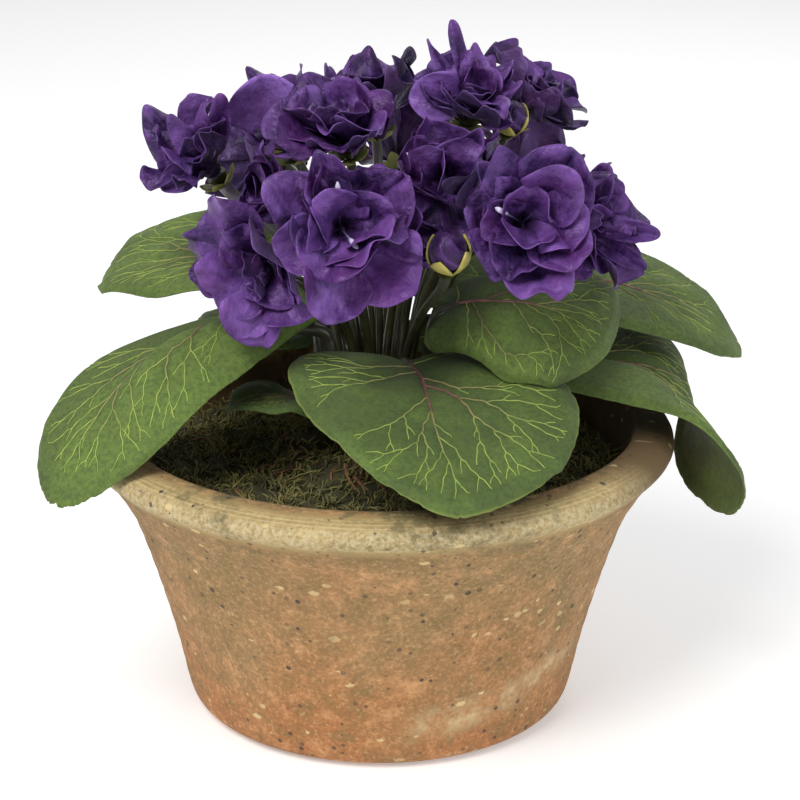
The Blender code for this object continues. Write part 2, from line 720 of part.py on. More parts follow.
def make_moss(finish, plant):
    # A ring of moss round the mound, with a lumpy top.
    low = MOSS_TOP - MOSS_DEPTH
    humps = [(MOUND_RADIUS + out * MM, MOSS_TOP + up * MM) for out, up in MOSS_HUMPS]
    edge = [(inside_radius(MOSS_LINE) - FIT, MOSS_LINE), (inside_radius(low) - FIT, low)]
    brim = (humps[-1][0] + 8 * MM, MOSS_TOP - 1 * MM)
    ring = turned("moss", [*humps, brim, *edge, (MOUND_RADIUS, low)], BED_SIDES, finish, plant, closed=True)
    ring = swap_for_mesh(ring, plant, finish)
    for vertex in ring.data.vertices:
        reach = vertex.co.xy.length
        if humps[0][0] + 2 * MM < reach < brim[0] - 2 * MM and vertex.co.z > MOSS_TOP - 0.5 * MM:
            vertex.co.z += LUMP_HEIGHT * noise.noise(vertex.co * LUMPS_PER_METRE)
    return ring


def make_bud(name, bud, finish, plant):
    # A closed bud: a round ball of folded petals.
    shape = bmesh.new()
    radius = bud["radius"] * MM
    bmesh.ops.create_uvsphere(shape, u_segments=BUD_RINGS[0], v_segments=BUD_RINGS[1], radius=radius)
    for vertex in shape.verts:
        vertex.co.z *= BUD_STRETCH
        vertex.co.z += radius * BUD_STRETCH - CORE_DEPTH / 2
    bmesh.ops.transform(shape, matrix=bloom_frame(bud), verts=shape.verts)
    return add_object(name, mesh_of(name, shape), finish, plant)


def main():
    plant = start_scene()
    clay = material("terracotta", CLAY_COLOUR, 0.85)
    soil = material("soil", SOIL_COLOUR, 0.95)
    moss = material("moss", MOSS_COLOUR, 0.95)
    leaf_cloth = material("leaf", LEAF_COLOUR, 0.7)
    petal_cloth = material("petal", PETAL_COLOUR, 0.6)
    bud_cloth = material("bud", BUD_COLOUR, 0.4)
    green = material("stalk", STALK_COLOUR, 0.35)
    make_pot(clay, plant)
    feet = bloom_feet()
    holes = [(spot, BLOOM_STALK + HOLE_PLAY) for spot in feet.values()]
    holes += [(leaf_foot(leaf), LEAF_STALK + HOLE_PLAY) for leaf in LEAVES.values()]
    make_bed(holes, soil, plant)
    make_moss(moss, plant)
    for name, leaf in LEAVES.items():
        make_leaf(name, leaf, leaf_cloth, plant)
    for name, bloom in BLOOMS.items():
        make_bloom(name, bloom, petal_cloth, plant)
        make_stalk(name + "_stalk", bloom, feet[name], green, plant)
    for name, bud in BUDS.items():
        make_bud(name, bud, bud_cloth, plant)
        make_stalk(name + "_stalk", bud, feet[name], green, plant)


main()
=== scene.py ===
import math
from functools import partial

import bmesh
import bpy
import numpy as np
from mathutils import Matrix, Vector, noise


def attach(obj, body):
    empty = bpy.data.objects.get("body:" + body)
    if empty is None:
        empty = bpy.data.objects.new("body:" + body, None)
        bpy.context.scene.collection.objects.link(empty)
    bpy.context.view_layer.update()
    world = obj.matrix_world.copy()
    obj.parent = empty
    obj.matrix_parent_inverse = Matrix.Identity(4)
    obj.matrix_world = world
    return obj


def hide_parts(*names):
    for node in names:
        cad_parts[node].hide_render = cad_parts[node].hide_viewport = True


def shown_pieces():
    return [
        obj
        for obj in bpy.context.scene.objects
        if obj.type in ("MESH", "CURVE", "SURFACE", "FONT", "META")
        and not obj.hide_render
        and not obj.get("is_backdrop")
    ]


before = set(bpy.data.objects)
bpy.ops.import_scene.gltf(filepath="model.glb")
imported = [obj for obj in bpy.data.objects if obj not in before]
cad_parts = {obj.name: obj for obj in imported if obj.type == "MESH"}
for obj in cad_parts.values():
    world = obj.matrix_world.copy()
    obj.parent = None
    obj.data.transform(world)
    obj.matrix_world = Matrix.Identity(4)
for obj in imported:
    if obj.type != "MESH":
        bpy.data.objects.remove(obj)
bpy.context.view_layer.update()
mm = 0.001

# Potted African violet: cloth leaves and double satin blooms in a weathered terracotta bowl.
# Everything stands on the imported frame: the pot's flat foot is at the origin, the viewer at -Y.


# Small tools

def plainValue(value):
    # a colour may be given as its sRGB hex text, and becomes the linear colour that Blender's sockets take
    if not isinstance(value, str) or not value.startswith("#"):
        return value
    parts = [int(value[i:i + 2], 16) / 255 for i in (1, 3, 5)]
    return (*[c / 12.92 if c <= 0.04045 else ((c + 0.055) / 1.055) ** 2.4 for c in parts], 1)


def outputOf(node):
    return next(socket for socket in node.outputs if socket.enabled)


def addNode(tree, kind, inputs=None, stops=None, **settings):
    # one node with its settings, its values or links, and its ramp's stops
    node = tree.nodes.new(kind)
    for key, value in settings.items():
        setattr(node, key, value)
    for key, value in (inputs or {}).items():
        if isinstance(value, bpy.types.Node):
            value = outputOf(value)
        if isinstance(value, bpy.types.NodeSocket):
            tree.links.new(value, node.inputs[key])
        else:
            node.inputs[key].default_value = plainValue(value)
    for i, (place, colour) in enumerate(stops or ()):
        stop = node.color_ramp.elements[i] if i < 2 else node.color_ramp.elements.new(place)
        stop.position = place
        stop.color = plainValue(colour)
    return node


def layColours(add, colour, layers):
    # lays one colour after another over the first: each shows as its pattern goes from low to high
    for pattern, low, high, most, over in layers:
        share = add("ShaderNodeMapRange", {0: pattern, 1: low, 2: high, 4: most})
        colour = add("ShaderNodeMix", {0: share, 6: colour, 7: over}, data_type="RGBA")
    return colour


def maskOf(add, most, *limits):
    # a share that comes up to most where each value goes from one limit to the other, in millimetres
    for value, first, last in limits:
        most = add("ShaderNodeMapRange", {0: value, 1: first * mm, 2: last * mm, 4: most})
    return most


def sumOf(add, *parts):
    # the sum of several patterns, each by its weight
    total = 0
    for pattern, weight in parts:
        total = add("ShaderNodeMath", {0: pattern, 1: weight, 2: total}, operation="MULTIPLY_ADD")
    return total


def newFinish(name, **surface):
    # a material, what adds nodes to it, its object coordinates and its shader with the values given
    finish = bpy.data.materials.new(name)
    finish.use_nodes = True
    shader = finish.node_tree.nodes["Principled BSDF"]
    for key, value in surface.items():
        shader.inputs[key.replace("_", " ")].default_value = plainValue(value)
    add = partial(addNode, finish.node_tree)
    return finish, add, add("ShaderNodeTexCoord").outputs["Object"], shader


def dressFinish(shader, colour, relief, depth, rough=None):
    # the colour, a bump whose full height is depth, in metres, and a varied roughness where there is one
    tree = shader.id_data
    bump = addNode(tree, "ShaderNodeBump", {"Height": relief, "Distance": depth, "Strength": 1.0})
    for key, node in (("Base Color", colour), ("Normal", bump), ("Roughness", rough)):
        if node:
            tree.links.new(outputOf(node), shader.inputs[key])


def newTree(name, **sockets):
    # a geometry tree with named inputs, what adds nodes to it, and the sockets that the inputs arrive on
    tree = bpy.data.node_groups.new(name, "GeometryNodeTree")
    tree.interface.new_socket("Geometry", in_out="INPUT", socket_type="NodeSocketGeometry")
    for label, kind in sockets.items():
        tree.interface.new_socket(label, in_out="INPUT", socket_type="NodeSocket" + kind)
    tree.interface.new_socket("Geometry", in_out="OUTPUT", socket_type="NodeSocketGeometry")
    add = partial(addNode, tree)
    return tree, add, add("NodeGroupInput").outputs


def endTree(add, geometry, finish):
    # every tree ends in Realize Instances and Set Material
    smooth = add("GeometryNodeSetShadeSmooth", {"Geometry": geometry})
    real = add("GeometryNodeRealizeInstances", {"Geometry": smooth})
    dressed = add("GeometryNodeSetMaterial", {"Geometry": real, "Material": finish})
    add("NodeGroupOutput", {"Geometry": dressed})


def meshFrom(name, points, edges=(), faces=(), marks=None):
    # a smooth mesh with a float attribute for each of marks
    mesh = bpy.data.meshes.new(name)
    mesh.from_pydata(np.asarray(points).tolist(), edges, faces)
    for key, values in (marks or {}).items():
        layer = mesh.attributes.new(key, "FLOAT", "POINT")
        layer.data.foreach_set("value", np.asarray(values, np.float32).ravel())
    mesh.polygons.foreach_set("use_smooth", [True] * len(mesh.polygons))
    return mesh


def closeSeams(mesh, outwards=True):
    # merges the doubles along seams and at poles, and then turns the faces outwards
    shape = bmesh.new()
    shape.from_mesh(mesh)
    bmesh.ops.remove_doubles(shape, verts=shape.verts, dist=0.01 * mm)
    if outwards:
        bmesh.ops.recalc_face_normals(shape, faces=shape.faces)
    shape.to_mesh(mesh)
    shape.free()
    return mesh


def clothMap(mesh, places):
    # a UV map named cloth, in metres across the flat cloth
    layer = mesh.uv_layers.new(name="cloth")
    index = np.zeros(len(mesh.loops), np.int32)
    mesh.loops.foreach_get("vertex_index", index)
    layer.data.foreach_set("uv", np.asarray(places, np.float32).reshape(-1, 2)[index].ravel())


def addPiece(name, mesh, *finishes):
    obj = bpy.data.objects.new(name, mesh)
    bpy.context.scene.collection.objects.link(obj)
    for finish in finishes:
        obj.data.materials.append(finish)
    return obj


def thicken(obj, thickness, backs=0):
    # gives a cut cloth its thickness; its back takes the finish that many slots on
    wall = obj.modifiers.new("thickness", "SOLIDIFY")
    wall.thickness = thickness
    wall.offset = 0
    wall.material_offset = backs


def runTree(name, mesh, tree, **values):
    # runs a geometry tree on a mesh and keeps its result as a plain mesh, with the modifier gone
    source = addPiece(name + "Source", mesh)
    modifier = source.modifiers.new("shape", "NODES")
    modifier.node_group = tree
    for item in tree.interface.items_tree:
        if item.in_out == "INPUT" and values.get(item.name) is not None:
            modifier[item.identifier] = values[item.name]
    bpy.context.view_layer.update()
    made = bpy.data.meshes.new_from_object(source.evaluated_get(bpy.context.evaluated_depsgraph_get()))
    made.name = name
    bpy.data.objects.remove(source)
    return addPiece(name, made)


def settle(obj, node=None):
    # hands a finished piece to the frame: it rides the root, and may stand for a node of the frame
    if node:
        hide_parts(node)
    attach(obj, "root")


def unit(v):
    return v / np.maximum(np.linalg.norm(v, axis=-1, keepdims=True), 1e-12)


def smoothStep(t):
    t = np.clip(t, 0, 1)
    return t * t * (3 - 2 * t)


def bell(x):
    return np.exp(-(x**2))


def bezier(points, t):
    t = np.asarray(t)[..., None]
    s = 1 - t
    a, b, c, d = points
    return a * s**3 + 3 * b * s * s * t + 3 * c * s * t * t + d * t**3


def bezierSlope(points, t):
    t = np.asarray(t)[..., None]
    s = 1 - t
    a, b, c, d = points
    return 3 * (b - a) * s * s + 6 * (c - b) * s * t + 3 * (d - c) * t * t


def turnedBy(angle, out, across, up):
    # places out from an axis, across and up along it, turned about it by an angle
    x, y = out * np.cos(angle) - across * np.sin(angle), out * np.sin(angle) + across * np.cos(angle)
    return np.stack(np.broadcast_arrays(x, y, up), -1)


def gridOf(rows, columns, low=-1, reach=1):
    # places across and along a grid: across from -reach to reach, along from low to reach
    down, beside = np.linspace(low, reach, rows), np.linspace(-reach, reach, columns)
    along, across = np.meshgrid(down, beside, indexing="ij")
    return across, along


def gridFaces(rows, columns, first=0):
    i, j = np.meshgrid(np.arange(rows - 1), np.arange(columns - 1), indexing="ij")
    corner = (first + i * columns + j).ravel()
    return np.stack([corner, corner + 1, corner + columns + 1, corner + columns], 1).tolist()


def roughNoise(points, scale, seed=0):
    # Perlin noise at an array of points, about -1 to 1
    shift = Vector((seed * 7.31, seed * 3.17, seed * 1.73))
    spots = np.reshape(points, (-1, 3))
    return np.array([noise.noise(Vector(p) * scale + shift) for p in spots]).reshape(np.shape(points)[:-1])


class pathSet:
    # paths to be swept into tubes: their points, the tube's radius at each, and a tint from 0 to 1
    def __init__(self):
        self.points, self.edges, self.radii, self.tints = [], [], [], []

    def add(self, points, radii, tints):
        first = len(self.points)
        self.points.extend(np.asarray(points).tolist())
        self.edges.extend((first + i, first + i + 1) for i in range(len(points) - 1))
        self.radii.extend(np.broadcast_to(radii, len(points)).tolist())
        self.tints.extend(np.broadcast_to(tints, len(points)).tolist())

    def swept(self, name, sides, finish=None):
        mesh = meshFrom(name, self.points, self.edges, marks={"sweepRadius": self.radii, "tint": self.tints})
        return runTree(name, mesh, sweepTree, Sides=sides, Finish=finish)


def makeSweepTree():
    # sweeps a round section along every path: veins, stalks, stamens and bark
    tree, add, given = newTree("sweepAlongPaths", Sides="Int", Finish="Material")
    radius = add("GeometryNodeInputNamedAttribute", {"Name": "sweepRadius"}, data_type="FLOAT")
    paths = add("GeometryNodeMeshToCurve", {"Mesh": given["Geometry"]})
    section = add("GeometryNodeCurvePrimitiveCircle", {"Resolution": given["Sides"], "Radius": 1.0})
    tubes = add("GeometryNodeCurveToMesh", {
        "Curve": paths, "Profile Curve": section, "Scale": radius, "Fill Caps": True,
    })
    endTree(add, tubes, given["Finish"])
    return tree


sweepTree = makeSweepTree()


# Finishes

def makeTerracotta():
    # unglazed fired earthenware, left outdoors: a matte orange clay, mottled olive and brown where it stayed
    # damp, with dark grit, cream lime flecks, a sandy patina over the rim and a pale bloom of salts low down
    finish, add, place, shader = newFinish("weatheredTerracotta", IOR=1.5)
    x, y, z = add("ShaderNodeSeparateXYZ", {0: place}).outputs
    level = add("ShaderNodeVectorMath", {0: place, 1: (1, 1, 0)}, operation="MULTIPLY")
    radius = add("ShaderNodeVectorMath", {0: level}, operation="LENGTH")
    across = add("ShaderNodeMath", {0: radius, 1: z}, operation="SUBTRACT")
    across = add("ShaderNodeMath", {0: across, 1: 9}, operation="MULTIPLY")
    ringed = add("ShaderNodeCombineXYZ", {0: x, 1: y, 2: across})
    squat = add("ShaderNodeMapping", {"Vector": place, "Scale": (1, 1, 2.6)})
    blotch, mottle, grain, smear, ring = [
        add("ShaderNodeTexNoise", {
            "Vector": at, "Scale": 1 / (size * mm), "Detail": detail, "Roughness": rough,
        })
        for at, size, detail, rough in (
            (place, 30, 4, 0.5), (place, 7, 6, 0.7), (place, 1.2, 4, 0.7), (squat, 17, 5, 0.6),
            (ringed, 16, 5, 0.65),
        )
    ]
    height = sumOf(add, (z, 1), (blotch, 0.11))
    raised = add("ShaderNodeMapRange", {0: height, 1: 55 * mm, 2: 131 * mm})
    body = add(
        "ShaderNodeValToRGB", {0: raised},
        stops=[(0, "#AB7041"), (1, "#967B50"), (0.32, "#A77647"), (0.62, "#A07B50")],
    )
    body = layColours(add, body, [
        (smear, 0.5, 0.68, 0.4, "#8C7047"), (smear, 0.48, 0.32, 0.3, "#C58F5E"),
        (mottle, 0.48, 0.66, 0.75, "#836E45"), (mottle, 0.47, 0.32, 0.6, "#D6A26E"),
        (grain, 0.5, 0.7, 0.6, "#735A3C"), (grain, 0.47, 0.3, 0.5, "#DCB485"),
    ])
    # the pale bloom: a band low on the right of the front, which climbs to the right
    arc = add("ShaderNodeMath", {0: x, 1: x}, operation="MULTIPLY")
    arc = add("ShaderNodeMath", {0: arc, 1: 3.9, 2: 14 * mm}, operation="MULTIPLY_ADD")
    off = add("ShaderNodeMath", {0: z, 1: arc}, operation="SUBTRACT")
    off = add("ShaderNodeMath", {0: off}, operation="ABSOLUTE")
    band = maskOf(add, 0.85, (off, 7, 1), (x, 4, 16), (y, -20, -34))
    # the patina: it starts half way over the rolled rim, in fine lines round it, and is limy on the bead
    tone = sumOf(add, (ring, 0.25), (mottle, 0.35), (grain, 0.4))
    sandStops = [(0.36, "#86734A"), (0.66, "#D0BD89"), (0.51, "#B19A66")]
    sand = add("ShaderNodeValToRGB", {0: tone}, stops=sandStops)
    spread = sumOf(add, (radius, 1), (blotch, 7 * mm))
    onRim = maskOf(add, 0.95, (z, 74, 77), (spread, 79, 82))
    lines = add("ShaderNodeMath", {0: radius, 1: 2 * math.pi / (1.25 * mm)}, operation="MULTIPLY")
    lines = add("ShaderNodeMath", {0: lines}, operation="SINE")
    lined = maskOf(add, 0.25, (radius, 78.5, 79.5), (z, 82, 83))
    lime = maskOf(add, onRim, (z, 84, 82.5), (radius, 81.5, 83.2))
    dirty = add("ShaderNodeMath", {0: mottle, 1: blotch}, operation="MULTIPLY")
    smudge = add("ShaderNodeMapRange", {0: z, 1: 70 * mm, 2: 79 * mm, 4: 0.75})
    # inside the rim: a clean orange lip; below it the wall darkens towards the moss, and a painted shadow of
    # a leaf falls on it at the front right
    shaded = maskOf(add, 0.95, (y, -56, -36), (z, 70, 78))
    # the inner wall's darkening is partly an olive stain and partly painted shade
    innerStainAndShade = maskOf(add, 0.85, (radius, 75.5, 73), (z, 69, 71))
    body = layColours(add, body, [
        (mottle, 0.42, 0.6, band, "#D2B68A"), (onRim, 0, 1, 1, sand), (lines, 0.3, 1, lined, "#EFE3C0"),
        (grain, 0.4, 0.66, lime, "#C4B896"), (dirty, 0.26, 0.34, smudge, "#5E5739"),
        (z, 82.5 * mm, 79 * mm, innerStainAndShade, "#6B5638"), (x, 50 * mm, 62 * mm, shaded, "#6A5538"),
    ])
    # dark grit of 0.5 to 1.5 mm, cream flecks of 1 to 3 mm and a few long scratches, each in some cells only:
    # the cells' size, turn and stretch, how many are bare and how wide a mark gets, and its colour
    marks = {}
    for kind, size, turn, stretch, bare, widest, colour in (
        ("grit", 3.0, (0, 0, 0), (1, 1, 1), 0.45, 0.3, "#463F37"),
        ("fleck", 6.0, (0.3, 0.5, 0.7), (0.8, 1.1, 1.5), 0.48, 0.27, "#D8C18B"),
        ("scratch", 5.0, (0.5, 0.9, 0.4), (0.13, 1.5, 1.5), 0.72, 0.16, "#E2CFA0"),
    ):
        laid = add("ShaderNodeMapping", {"Vector": place, "Rotation": turn, "Scale": stretch})
        cells = add("ShaderNodeTexVoronoi", {"Vector": laid, "Scale": 1 / (size * mm)})
        pick = add("ShaderNodeSeparateXYZ", {0: cells.outputs["Color"]}).outputs
        wide = add("ShaderNodeMapRange", {0: pick[0], 1: bare, 2: 1, 4: widest})
        ragged = sumOf(add, (cells, 1), (grain, 0.3))
        inside = add("ShaderNodeMath", {0: wide, 1: ragged}, operation="SUBTRACT")
        strong = add("ShaderNodeMapRange", {0: pick[1], 1: 0, 2: 1, 3: 0.4, 4: 0.95})
        marks[kind] = add("ShaderNodeMapRange", {0: inside, 1: -0.15, 2: -0.1, 4: strong})
        body = layColours(add, body, [(marks[kind], 0, 1, 1, colour)])
    rough = add("ShaderNodeMapRange", {0: mottle, 1: 0.3, 2: 0.7, 3: 0.8, 4: 0.95})
    relief = sumOf(add, (grain, 1), (mottle, 0.7), (marks["grit"], -0.4))
    dressFinish(shader, body, relief, 0.45 * mm, rough)
    return finish


def makeLeafCloth(name, light, dark, hem):
    # Dyed polyester satin, hot-pressed to shape: matte, with the thread just showing and the dye uneven.
    # The real threads are 0.3 mm apart: they are drawn at 0.7 mm, the finest that shows.
    finish, add, place, shader = newFinish(
        name, Roughness=0.64, IOR=1.5, Sheen_Weight=0.04, Sheen_Roughness=0.5,
    )
    cloth = add("ShaderNodeUVMap", uv_map="cloth")
    turns = add("ShaderNodeVectorMath", {0: cloth, "Scale": 2 * math.pi / (0.7 * mm)}, operation="SCALE")
    threads = add("ShaderNodeVectorMath", {0: turns}, operation="SINE")
    warp, weft, _ = add("ShaderNodeSeparateXYZ", {0: threads}).outputs
    weave = add("ShaderNodeMath", {0: warp, 1: weft}, operation="MULTIPLY")
    patch, fine = [
        add("ShaderNodeTexNoise", {
            "Vector": place, "Scale": 1 / (size * mm), "Detail": detail, "Roughness": rough,
        })
        for size, detail, rough in ((14, 5, 0.6), (1.3, 3, 0.65))
    ]
    dye, shade, edge = [
        add("ShaderNodeAttribute", attribute_name=key).outputs["Fac"] for key in ("dye", "shade", "hem")
    ]
    # how light the leaf is: uneven dye, with painted shade on a leaf that lies in shadow
    dyedAndShaded = sumOf(add, (patch, 1), (dye, 1))
    # the dark layer on the shade attribute is painted shade in the veins, round the stalk and on a shaded
    # half
    colour = layColours(add, dark, [
        (dyedAndShaded, 0.86, 1.14, 1.0, light), (weave, -1, 1, 0.3, "#75863F"), (fine, 0.42, 0.64, 0.5, "#293C18"),
        (shade, 0, 1, 0.7, "#273217"), (edge, 0, 1, 0.85, hem),
    ])
    dressFinish(shader, colour, sumOf(add, (fine, 1), (weave, 0.25)), 0.3 * mm)
    return finish


def makeVeinPrint():
    # pigment printed in the pressed veins: yellow-green out on the blade, a pink brown near the stalk
    finish, add, place, shader = newFinish("veinPrint", Roughness=0.65, IOR=1.5)
    rub = add("ShaderNodeTexNoise", {"Vector": place, "Scale": 1 / (3 * mm), "Detail": 3})
    tint = add("ShaderNodeAttribute", attribute_name="tint").outputs["Fac"]
    young = layColours(add, "#7C9647", [(rub, 0.35, 0.7, 1.0, "#A9B957")])
    old = layColours(add, "#6B4440", [(rub, 0.35, 0.7, 1.0, "#8B605A")])
    colour = layColours(add, "#586D33", [(tint, -1, 0, 1.0, young), (tint, 0, 1, 1.0, old)])
    dressFinish(shader, colour, rub, 0.1 * mm)
    return finish


def makePetalSatin(name, deep, mid, light, lit):
    # dyed satin, hot-pressed over a ball: deep violet with a violet shine, blotched where the dye pooled
    finish, add, place, shader = newFinish(
        name, Roughness=0.42, IOR=1.5, Sheen_Weight=0.05, Sheen_Roughness=0.4, Sheen_Tint="#A67FD6",
        Specular_Tint="#D6C0F4",
    )
    # streaks about a millimetre wide along the petal, which carry a painted satin sheen
    cloth = add("ShaderNodeUVMap", uv_map="cloth")
    drawn = add("ShaderNodeMapping", {"Vector": cloth, "Scale": (1, 0.16, 1)})
    blot, pool, crumple, patch, streak = [
        add("ShaderNodeTexNoise", {
            "Vector": at, "Scale": 1 / (size * mm), "Detail": detail, "Roughness": rough,
        })
        for at, size, detail, rough in (
            (place, 8, 6, 0.65), (place, 17, 3, 0.5), (place, 3.5, 4, 0.6), (place, 11, 3, 0.5),
            (drawn, 1.3, 3, 0.5),
        )
    ]
    tone, shade = [add("ShaderNodeAttribute", attribute_name=key).outputs["Fac"] for key in ("tone", "shade")]
    # the ramp follows the tone, which is the petal's dye with a painted highlight on its rim and painted
    # light on the bloom's lit side, and blots of uneven dye
    colour = add(
        "ShaderNodeValToRGB", {0: sumOf(add, (tone, 0.4), (blot, 0.68))},
        stops=[(0.18, deep), (0.98, lit), (0.45, mid), (0.74, light)],
    )
    # painted highlights: light streaks, light crumple crests and lit patches; then two colours where the dye
    # pooled, and painted shade at the root from the shade attribute
    colour = layColours(add, colour, [
        (streak, 0.48, 0.7, 0.3, light), (crumple, 0.5, 0.66, 0.5, light), (patch, 0.52, 0.72, 0.45, lit),
        (pool, 0.5, 0.66, 0.4, "#4E1D5A"), (pool, 0.46, 0.32, 0.4, "#2C2550"), (shade, 0, 1, 1.0, "#0F0719"),
    ])
    rough = add("ShaderNodeMapRange", {0: blot, 1: 0.3, 2: 0.7, 3: 0.3, 4: 0.5})
    dressFinish(shader, colour, sumOf(add, (crumple, 1), (streak, 0.3)), 0.9 * mm, rough)
    return finish


def makeTwoTone(name, foot, tip, size, depth, **surface):
    # a finish that goes from one pair of mottled colours to another with the attribute tint
    finish, add, place, shader = newFinish(name, **surface)
    patch = add("ShaderNodeTexNoise", {"Vector": place, "Scale": 1 / size, "Detail": 4})
    tint = add("ShaderNodeAttribute", attribute_name="tint").outputs["Fac"]
    low, high = [layColours(add, pair[0], [(patch, 0.35, 0.68, 1.0, pair[1])]) for pair in (foot, tip)]
    dressFinish(shader, layColours(add, low, [(tint, 0, 1, 1.0, high)]), patch, depth)
    return finish


def makeFibreFinish(name, stops, size, depth, rough):
    # dried fibres: dark at the root, bleached at the tip, and in patches of one colour or another
    finish, add, place, shader = newFinish(name, Roughness=rough, IOR=1.45)
    patch = add("ShaderNodeTexNoise", {"Vector": place, "Scale": 1 / size, "Detail": 5, "Roughness": 0.65})
    tint = add("ShaderNodeAttribute", attribute_name="tint").outputs["Fac"]
    colour = add("ShaderNodeValToRGB", {0: sumOf(add, (tint, 0.5), (patch, 0.9))}, stops=stops)
    dressFinish(shader, colour, patch, depth)
    return finish


terracotta = makeTerracotta()
leafCloth = makeLeafCloth("hotPressedLeafCloth", "#5C7528", "#3E5519", "#93A248")
leafBack = makeLeafCloth("leafClothUnderside", "#4A5E26", "#37491C", "#6F7F42")
veinPrint = makeVeinPrint()
petalSatin = makePetalSatin("dyedPetalSatin", "#150A23", "#2C1543", "#6B458C", "#9C72CC")
petalBack = makePetalSatin("petalSatinReverse", "#191026", "#2E1F40", "#5C4777", "#76609A")
budSatin = makePetalSatin("foldedBudSatin", "#140A20", "#2D1645", "#5A3A7A", "#7C5AA6")
# moulded polythene over wire: dark olive and a little glossy, lilac grey where it meets the far bloom
stalkPlastic = makeTwoTone(
    "mouldedStalkPlastic", ("#3A3A20", "#28291A"), ("#726974", "#958A99"), 5 * mm, 0.2 * mm,
    Roughness=0.28, IOR=1.5, Coat_Weight=0.25,
)
# painted cloth sepals: olive at the foot, a creamy yellow at the tip
sepalCloth = makeTwoTone(
    "paintedSepalCloth", ("#4A572A", "#5D6934"), ("#A79B46", "#CABF74"), 3 * mm, 0.25 * mm,
    Roughness=0.55, IOR=1.5,
)
# moulded plastic threads with pearly tips
stamenPlastic = makeTwoTone(
    "pearlStamenPlastic", ("#2A1B40", "#3A2A58"), ("#B9B2DA", "#E4E0F4"), 2 * mm, 0.1 * mm,
    Roughness=0.3, IOR=1.5,
)
mossStops = [(0.3, "#2C2F20"), (0.95, "#C2B274"), (0.5, "#565737"), (0.68, "#8E874F")]
mossFibre = makeFibreFinish("driedMossFibre", mossStops, 13 * mm, 0.3 * mm, 0.9)
barkStops = [(0.3, "#3A2518"), (0.9, "#A57C55"), (0.6, "#6E4A32")]
barkFibre = makeFibreFinish("curledBarkFibre", barkStops, 6 * mm, 0.3 * mm, 0.85)
mossBed = makeFibreFinish("mattedMossBed", [(0.3, "#1E2016"), (0.7, "#4A472F")], 5 * mm, 1.2 * mm, 0.95)
pottingMix = makeFibreFinish("barkPottingMix", [(0.3, "#0D0A07"), (0.7, "#2E2218")], 3 * mm, 1.0 * mm, 0.95)
print("finishes made")


# The pot: a profile turned by a geometry tree. Its outline is in millimetres, out from the axis and up.

potShape = {
    "sides": 168, "rings": 230, "throwing": 0.07 * mm, "pitch": 6.5 * mm, "wobble": 0.2 * mm,
    "floor": ((0, 8), (48, 8)),
    "inside": ((53.8, 27), (62.2, 55), (69.5, 69), (71.6, 80.5)),
    "rim": (
        (72.4, 84.2), (73.3, 85), (77, 84.75), (79.2, 84.3), (79.7, 83.85), (80.3, 83.9), (81.4, 83.4),
        (81.9, 82.9), (82.4, 82.8), (83.5, 81.6), (84, 80), (83.7, 78.8), (82.5, 77.2), (80.6, 75.6),
        (78.6, 73), (76.6, 70),
    ),
    "outside": ((71.8, 62), (69.2, 55), (65.6, 44), (60.8, 27), (58.4, 17), (56.4, 6.6), (54.6, 2)),
    "foot": ((50.5, 0), (0, 0)),
    # where the wall's lines and wobble come in, and how the lines drift along and round it
    "wallUp": (6, 12), "wallOut": (52, 56), "driftUp": 30, "driftScale": 0.8,
}


def roundedLine(points, times=3):
    # cuts the corners of an open line, and keeps its ends
    points = np.array(points, float)
    for _ in range(times):
        a, b = points[:-1], points[1:]
        cut = np.stack([0.75 * a + 0.25 * b, 0.25 * a + 0.75 * b], 1).reshape(-1, 2)
        points = np.vstack([points[:1], cut, points[-1:]])
    return points


